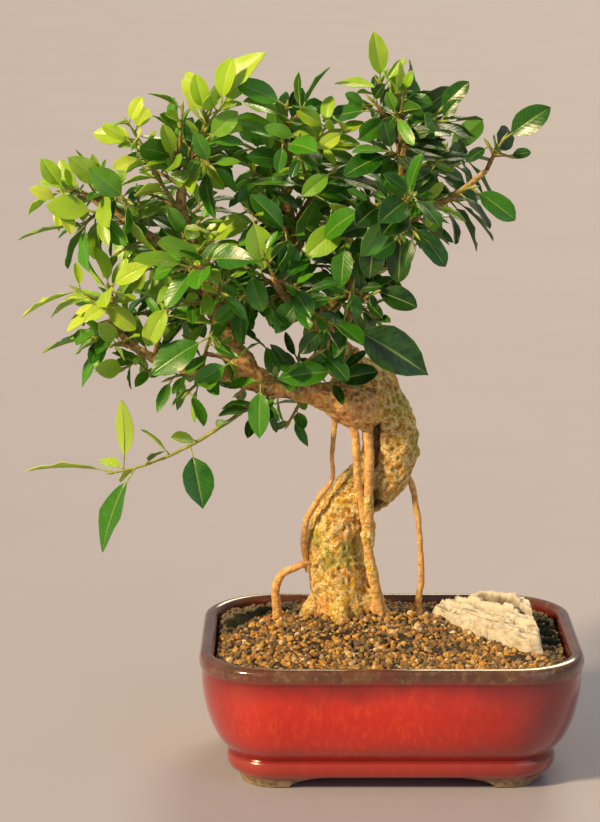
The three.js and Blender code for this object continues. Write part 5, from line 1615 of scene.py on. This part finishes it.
@dataclass
class Foliage:
    """The leaves, twigs, stalks and buds, finer than the CAD sprays and in the same places.

    thick is a blade's thickness and petiole the stalk's share of a leaf. spur_ values are those of the added
    side twigs, extra the places for small leaves on a twig, and leaf_ values those of such a leaf, with its
    half width as a share of its length. lean narrows the young leaves on the long low shoot, and the crown
    gets no added growth past the x of open_from. twig_radius holds a twig's start and end, sheath a bud's
    radii, and fine and coarse a blade's rows and where its columns lie across it.
    """

    thick: float = 0.36
    petiole: float = 0.2
    spur_step: float = 9
    spur_limb: float = 6.6
    spur_tries: int = 5
    spur_length: tuple = (9, 20)
    spur_gap: float = 2.6
    spur_room: float = 5
    extra: int = 5
    leaf_tries: int = 8
    leaf_length: tuple = (13, 25)
    leaf_width: tuple = (0.12, 0.232)
    leaf_gap: float = 1.9
    leaf_room: float = 2
    leaf_near: float = 35
    twig_radius: tuple = (1.25, 0.65)
    bud_length: tuple = (4.5, 7)
    sheath: tuple = (0.6, 0.85, 0.95, 0.85, 0.62, 0.35, 0.06)
    lean: float = 0.62
    open_from: float = 20
    middle: tuple = (-60, 12, 285)
    seed: int = 8
    fine: tuple = (10, (-1, -0.78, -0.45, -0.1, 0, 0.1, 0.45, 0.78, 1))
    coarse: tuple = (8, (-1, -0.5, 0, 0.5, 1))
    outline: tuple = (
        (0, 0.02), (0.04, 0.13), (0.1, 0.38), (0.18, 0.66), (0.28, 0.88), (0.4, 0.985), (0.5, 1),
        (0.62, 0.94), (0.74, 0.76), (0.84, 0.5), (0.91, 0.26), (0.96, 0.1), (1, 0.015),
    )
    blunt: tuple = (
        (0, 0.02), (0.04, 0.14), (0.1, 0.38), (0.18, 0.64), (0.28, 0.86), (0.4, 0.97), (0.52, 1),
        (0.64, 0.98), (0.76, 0.88), (0.86, 0.69), (0.93, 0.43), (0.975, 0.18), (1, 0.015),
    )
    leaves: list[Leaf] = field(default_factory=list)

    def read_spray(self, node: str, young: bool) -> list[Leaf]:
        """Finds the leaves of a CAD spray by its three-sided blades.

        Args:
            node: The spray's name.
            young: Whether its growth is young.

        Returns:
            The leaves, each fitted to its blade's sections.
        """
        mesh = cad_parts[node].data
        raw = mesh_points(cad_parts[node])
        mesh.calc_loop_triangles()
        corners = np.empty(len(mesh.loop_triangles) * 3, np.int32)
        mesh.loop_triangles.foreach_get("vertices", corners)
        _, index = np.unique(np.round(raw * 200).astype(np.int64), axis=0, return_inverse=True)
        index = index.reshape(-1)
        points = np.empty((index.max() + 1, 3))
        points[index] = raw
        beside: list[set[int]] = [set() for _ in points]
        for a, b, c in index[corners].reshape(-1, 3):
            beside[a] |= {b, c}
            beside[b] |= {a, c}
            beside[c] |= {a, b}
        found = []
        for tip, around in enumerate(beside):
            rings = []
            seen, ring = {tip}, set(around)
            while len(ring) == 3 and len(rings) < 6:
                a, b, c = ring
                if not (b in beside[a] and c in beside[a] and c in beside[b]):
                    break
                rings.append(points[[a, b, c]])
                seen |= ring
                ring = set().union(*[beside[one] for one in ring]) - seen
            if len(rings) >= 3:
                found.append(self.fit(points[tip], rings, young))
        return found

    def fit(self, tip: Array, rings: list[Array], young: bool) -> Leaf:
        """Fits a leaf to the sections of its blade, which run from the tip to the stalk."""
        sections = []
        for ring in rings:
            spans = [np.linalg.norm(ring[(k + 1) % 3] - ring[(k + 2) % 3]) for k in range(3)]
            keel = int(np.argmax(spans))
            edges = ring[(keel + 1) % 3], ring[(keel + 2) % 3]
            face = unit((edges[0] + edges[1]) / 2 - ring[keel])
            sections.append((ring[keel] + 0.45 * face, unit(edges[1] - edges[0]), spans[keel] / 2, face))
        halves = [section[2] for section in sections]
        large = halves[2] > 0.3 * max(halves)
        shares = (0.8, 0.53, 0.24, 0.04) if large else (0.66, 0.3, 0.04)
        sections = sections[: len(shares)]
        t = self.petiole + (1 - self.petiole) * np.array(shares[: len(sections)])
        wanted = np.array([section[0] for section in sections]) - t[:, None] ** 2 * tip
        weights = np.stack([(1 - t) ** 2, 2 * t * (1 - t)], -1)
        base, bend = np.linalg.lstsq(weights, wanted, rcond=None)[0]
        widest = int(np.argmax(halves[: len(sections)]))
        _, side, half, face = sections[widest]
        if np.dot(np.cross(side, tip - base), face) < 0:
            side = -side
        return Leaf(base, bend, tip, side, half / (1.0 if large else 0.93), young)

    def samples(self, leaf: Leaf) -> Array:
        """Points spread over a leaf, by which more leaves are kept off it."""
        share = np.linspace(0.25, 1, 6)[:, None]
        centre, _ = bezier(leaf.base, leaf.bend, leaf.tip, share)
        width = np.interp(share[:, 0], *np.array(self.outline).T)[:, None] * leaf.half
        return np.vstack([centre + leaf.side * width * k for k in (-0.9, 0, 0.9)])

    def spurs(self, wood: BVHTree) -> list[tuple[tuple, bool]]:
        """Sets short side twigs on the thin limbs where there is room.

        Args:
            wood: The search tree of the trunk and limbs.

        Returns:
            Their curves, none of them young.
        """
        draw = np.random.default_rng(self.seed + 60)
        taken = np.vstack([self.samples(leaf) for leaf in self.leaves])
        found = []
        for name in LIMBS:
            if name in AERIAL or name.startswith(("flare", "trunk")):
                continue
            rows = smooth_route(LIMBS[name], self.spur_step)
            for row in rows[2:-1]:
                if row[3] > self.spur_limb or row[0] > self.open_from:
                    continue
                along = unit(rows[-1, :3] - rows[0, :3])
                for _ in range(self.spur_tries):
                    aside = unit(np.cross(along, draw.normal(size=3)))
                    away = unit((row[:3] - self.middle) * (1, 1, 0.4))
                    way = unit(aside + 0.35 * along + 0.3 * away + (0, -0.15, 0.25))
                    length = draw.uniform(*self.spur_length) + row[3]
                    start, end = row[:3], row[:3] + way * length
                    bend = (start + end) / 2 + (0, 0, 0.1 * length)
                    path = bezier(start, bend, end, np.linspace(0.5, 1.2, 6)[:, None])[0]
                    gap = np.linalg.norm(path[:, None] - taken[None], axis=2).min()
                    room = clearance(wood, path[-1])
                    if gap > self.spur_gap and room > self.spur_room and self.fits_box(path):
                        found.append(((start, bend, end), False))
                        taken = np.vstack([taken, path])
                        break
        return found

    def fits_box(self, points: Array) -> bool:
        """Whether points lie inside the CAD part's box."""
        low, high = ((np.array(corner) - POT_MIDDLE) / MM for corner in CAD_BOX)
        return bool((points > low + 1).all() and (points < high - 1).all())

    def fill(self, twigs: list[tuple[tuple, bool]], wood: BVHTree) -> list[Leaf]:
        """Sets small leaves between the others where there is room.

        Args:
            twigs: Every twig's curve, and whether it is young.
            wood: The search tree of the trunk and limbs.

        Returns:
            The added leaves.
        """
        draw = np.random.default_rng(self.seed)
        stems = [bezier(*curve, np.linspace(0.1, 1, 14)[:, None])[0] for curve, _ in twigs]
        taken = np.vstack([self.samples(leaf) for leaf in self.leaves] + stems)
        added = []
        for curve, young in twigs:
            for share in np.linspace(0.98, 0.3, self.extra):
                for _ in range(self.leaf_tries):
                    start, along = bezier(*curve, np.array([share + draw.uniform(-0.07, 0.02)]))
                    if start[0] > self.open_from:
                        break
                    aside = unit(np.cross(along, draw.normal(size=3)))
                    heading = unit(0.55 * along + aside + (0, -0.1, draw.uniform(-0.35, 0.2)))
                    facing = unit(draw.normal(scale=0.35, size=3) + (0, -0.45, 0.7))
                    side = unit(np.cross(heading, facing))
                    face = np.cross(side, heading)
                    length = draw.uniform(*self.leaf_length)
                    tip = start + heading * length
                    bend = start + 0.45 * (tip - start) + face * 0.12 * length
                    half = length * draw.uniform(*self.leaf_width)
                    leaf = Leaf(start, bend, tip, side, half, young, added=True)
                    spots = self.samples(leaf)
                    if not self.fits_box(spots):
                        continue
                    near = taken[np.linalg.norm(taken - start, axis=1) < self.leaf_near]
                    if np.linalg.norm(spots[:, None] - near[None], axis=2).min() < self.leaf_gap:
                        continue
                    if min(clearance(wood, spot) for spot in spots) < self.leaf_room:
                        continue
                    added.append(leaf)
                    taken = np.vstack([taken, spots])
                    break
        return added

    def build_blades(self, leaves: list[Leaf], name: str, grid: tuple) -> bpy.types.Object:
        """Makes thin closed blades, folded along the midrib and waved along the edge.

        Args:
            leaves: The leaves.
            name: The piece's name.
            grid: How many rows of faces a blade has, and where its columns lie across it.

        Returns:
            The piece with all of them.
        """
        draw = np.random.default_rng(self.seed + len(name))
        places = [[leaf.base, leaf.bend, leaf.tip, leaf.side] for leaf in leaves]
        base, bend, tip, side = np.array(places).transpose(1, 0, 2)[:, :, None]
        half = np.array([leaf.half for leaf in leaves])[:, None]
        number = len(leaves)
        share = 0.5 - 0.5 * np.cos(np.linspace(0, np.pi, grid[0] + 1))
        centre, along = bezier(base, bend, tip, (self.petiole + (1 - self.petiole) * share)[None, :, None])
        face = unit(np.cross(np.broadcast_to(side, along.shape), along))
        plump = draw.uniform(-0.12, 0.12, (number, 1))
        pointed = np.interp(share, *np.array(self.outline).T)[None]
        rounded = np.interp(share, *np.array(self.blunt).T)[None]
        roundness = np.clip(draw.uniform(0.2, 1.3, (number, 1)), 0, 1) * ease(half, 10, 7)
        width = pointed * (1 - roundness) + rounded * roundness
        width = width * (1 + plump * np.sin(np.pi * share[None])) * half
        u = np.array(grid[1])
        fold = draw.uniform(0.1, 0.26, (number, 1, 1))
        waves, phase = draw.uniform(1.2, 2.6, (number, 1, 1)), draw.uniform(0, 6.28, (number, 1, 1))
        wave = 0.1 * np.sin(2 * np.pi * waves * share[None, :, None] + phase + 1.3 * np.sign(u))
        cup = draw.uniform(-0.08, 0.1, (number, 1, 1))
        rise = (fold * np.abs(u) + wave * u**2 + cup * (u**2 - np.abs(u))) * width[:, :, None]
        rib = np.exp(-((u / 0.1) ** 2))
        top = 0.5 * self.thick - 0.16 * rib
        low = -0.5 * self.thick - 0.3 * rib * (1 - 0.7 * share[:, None])
        flat = centre[:, :, None] + side[:, :, None] * (u[:, None] * width[:, :, None, None])
        layers = [flat + face[:, :, None] * (rise + h)[..., None] for h in (top, low)]
        points = np.stack(layers, 1)
        rows, columns = grid[0] + 1, len(u)
        sheet = grid_faces(rows, columns, False)
        size = rows * columns
        loop = [*range(columns), *range(2 * columns - 1, size, columns)]
        loop += [*range(size - 2, size - columns - 1, -1), *range(size - 2 * columns, 0, -columns)]
        after = loop[1:] + loop[:1]
        rim = np.stack([loop, after, np.array(after) + size, np.array(loop) + size], -1)
        one = np.vstack([sheet, sheet[:, ::-1] + size, rim[:, ::-1]])
        faces = (one[None] + np.arange(number)[:, None, None] * 2 * size).reshape(-1, 4)
        tone = np.repeat([leaf.tone for leaf in leaves], 2 * size)
        pattern = np.broadcast_to(share[:, None], (rows, columns)).ravel()
        shape = Shape()
        shape.add(
            points.reshape(-1, 3),
            faces,
            tone=tone,
            along=np.tile(np.tile(pattern, 2), number),
            across=np.tile(np.tile(np.tile(u, rows), 2), number),
            under=np.tile(np.repeat([0.0, 1.0], size), number),
        )
        return shape.build(name, 50)

    def build_twigs(self, curves: list[tuple[tuple, bool]]) -> bpy.types.Object:
        """Makes the twigs with their nodes and buds, and every leaf's stalk."""
        draw = np.random.default_rng(self.seed + 40)
        shape = Shape()
        for (start, bend, end), young in curves:
            length = np.linalg.norm(end - start)
            share = np.linspace(0, 1, max(int(length / 1.6), 6))
            path, along = bezier(start, bend, end, share[:, None])
            path = path + 0.25 * np.stack([lumps(path, 7, seed) for seed in (1, 2, 3)], -1)
            knots = 0.22 * np.exp(-(((share * length) % 8 - 4) / 1.0) ** 2)
            radius = np.interp(share, (0, 1), self.twig_radius) * (1 + knots + 0.06 * lumps(path, 2, 4))
            green = np.clip((0.55 if young else 0.1) + 0.6 * share - 0.15 + 0.2 * lumps(path, 6, 5), 0, 1)
            add_tube(shape, path, radius, 9, green=green)
            bud = end + along[-1] * np.linspace(-1, draw.uniform(*self.bud_length), len(self.sheath))[:, None]
            add_tube(shape, bud, self.sheath, 8, green=0.9)
        for leaf in self.leaves:
            rings, sides = (3, 4) if leaf.added else (5, 6)
            share = np.concatenate([np.linspace(0, 0.24, rings), np.linspace(0.34, 0.86, rings)])
            path, along = bezier(leaf.base, leaf.bend, leaf.tip, share[:, None])
            face = unit(np.cross(leaf.side, along))
            sunk = np.interp(share, [0, 0.2, 0.3, 0.86], [0, 0, 0.42, 0.3])
            radius = np.interp(share, [0, 0.04, 0.2, 0.3, 0.86], [0.75, 0.55, 0.45, 0.36, 0.1])
            add_tube(shape, path - face * sunk[:, None], radius, sides, green=0.75 + 0.25 * leaf.tone)
        return shape.build("twigs")

    def dress(self, wood: bpy.types.Object) -> list[bpy.types.Object]:
        """Builds the foliage and gives it its greens.

        Args:
            wood: The trunk and limbs.

        Returns:
            The new pieces.
        """
        twigs = [(curve, shoot.young) for shoot in SHOOTS for curve in shoot.twigs()]
        nodes = [f"spray_{i + 1:02d}" for i in range(len(SHOOTS))]
        for node, shoot in zip(nodes, SHOOTS):
            for leaf in self.read_spray(node, shoot.young):
                if any(np.hypot(leaf.tip[0] - x, leaf.tip[2] - z) < 8 for x, z in shoot.old_tips):
                    leaf.young = False
                elif shoot.old_tips:
                    leaf.half *= self.lean
                self.leaves.append(leaf)
        LOG.info("leaves read from the sprays: %d", len(self.leaves))
        solid = BVHTree.FromObject(wood, bpy.context.evaluated_depsgraph_get())
        twigs += self.spurs(solid)
        self.leaves += self.fill(twigs, solid)
        LOG.info("leaves in all: %d, on %d twigs", len(self.leaves), len(twigs))
        draw = np.random.default_rng(self.seed + 3)
        for leaf in self.leaves:
            # painted light: leaves further left and higher up get lighter greens, and each leaf's tone varies
            # at random about that
            light = 0.5 - 0.0034 * (leaf.tip[0] + 60) + 0.0012 * (leaf.tip[2] - 290)
            leaf.tone = float(np.clip(draw.normal(light, 0.24), 0, 1))
        pieces = []
        for age, slot, greens, tints in GREENS:
            green = LeafFinish(f"{age.value}_leaf", greens, *tints).make()
            chosen = [leaf for leaf in self.leaves if leaf.young == (age is Age.YOUNG)]
            stood_for = [n for n, s in zip(nodes, SHOOTS) if s.young == (age is Age.YOUNG)]
            large = [leaf for leaf in chosen if not leaf.added]
            small = [leaf for leaf in chosen if leaf.added]
            blades = self.build_blades(large, f"{age.value}_leaves", self.fine)
            pieces.append(dress(blades, green, slot, *stood_for))
            blades = self.build_blades(small, f"small_{age.value}_leaves", self.coarse)
            pieces.append(dress(blades, green, slot))
        pieces.append(dress(self.build_twigs(twigs), TwigFinish().make(), Slot.BARK))
        return pieces


# ---------------------------------------------------------------------------------------------- studio


@dataclass
class Studio:
    """A plain pale floor, soft lights and the camera.

    A lamp is its name, the way its light comes from, its width in degrees, its strength and its colour.
    """

    camera_place: tuple = (-50.0, -1401.3, 483.1)
    pitch: float = 11.5
    focal_px: float = 2600
    frame_px: tuple = (600, 822)
    sensor: float = 24
    floor_size: float = 60
    air: tuple = ("d4d2d4", 0.4)
    lamps: tuple = (
        ("key", (-0.8, -0.58, 0.6), 8, 4.9, "ffdfae"),
        ("fill", (0.85, -0.8, 0.5), 50, 0.35, "e4e4ff"),
        ("back", (0.25, 0.9, 0.75), 25, 1.3, "fff0c8"),
    )

    def floor(self) -> None:
        """Lays the floor."""
        bpy.ops.mesh.primitive_plane_add(size=self.floor_size, location=(0, 0, 0))
        floor = bpy.context.object
        floor.name = "floor"
        floor.data.materials.append(FloorFinish().make())
        floor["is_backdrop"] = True

    def light(self) -> None:
        """Sets far soft lights, even over the whole floor, and a pale air."""
        for name, place, softness, power, tint in self.lamps:
            data = bpy.data.lights.new(name, "SUN")
            data.angle, data.energy, data.color = math.radians(softness), power, colour(tint)[:3]
            lamp = bpy.data.objects.new(name, data)
            lamp.rotation_euler = (-Vector(place)).to_track_quat("-Z", "Y").to_euler()
            bpy.context.scene.collection.objects.link(lamp)
        world = bpy.data.worlds.new("studio_air")
        world.use_nodes = True
        air = world.node_tree.nodes["Background"]
        Wiring(world.node_tree).link(air, {"Color": self.air[0], "Strength": self.air[1]})
        bpy.context.scene.world = world

    def camera(self) -> None:
        """Sets the camera at the photograph's angle."""
        data = bpy.data.cameras.new("camera")
        data.sensor_fit = "VERTICAL"
        data.sensor_height = self.sensor
        data.lens = self.focal_px * data.sensor_height / self.frame_px[1]
        data.clip_start, data.clip_end = 0.05, 100
        eye = bpy.data.objects.new("camera", data)
        eye.location = np.array(self.camera_place) * MM + POT_MIDDLE
        eye.rotation_euler = (math.radians(90 - self.pitch), 0, 0)
        bpy.context.scene.collection.objects.link(eye)
        bpy.context.scene.camera = eye

    def build(self) -> None:
        """Sets up the whole studio."""
        self.camera()
        self.floor()
        self.light()
        bpy.context.scene.view_settings.view_transform = "Standard"


def main() -> None:
    """Builds the pieces in order and reports each one."""
    logging.basicConfig(level=logging.INFO, format="%(name)s: %(message)s")
    Studio().build()
    pieces = [Pot().dress()]
    DrainScreens().dress()
    rock = Rock().dress()
    wood = Wood().dress()
    pieces += [rock, *wood]
    pieces += Ground().dress(wood, rock)
    pieces += Foliage().dress(wood[0])
    total = 0
    for piece in pieces:
        piece.data.calc_loop_triangles()
        count = len(piece.data.loop_triangles)
        total += count
        LOG.info("%s: %d triangles", piece.name, count)
    LOG.info("all new pieces: %d triangles", total)
    boxes = [[list(corner) for corner in box] for box in (CAD_BOX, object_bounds())]


if __name__ == "__main__":
    main()
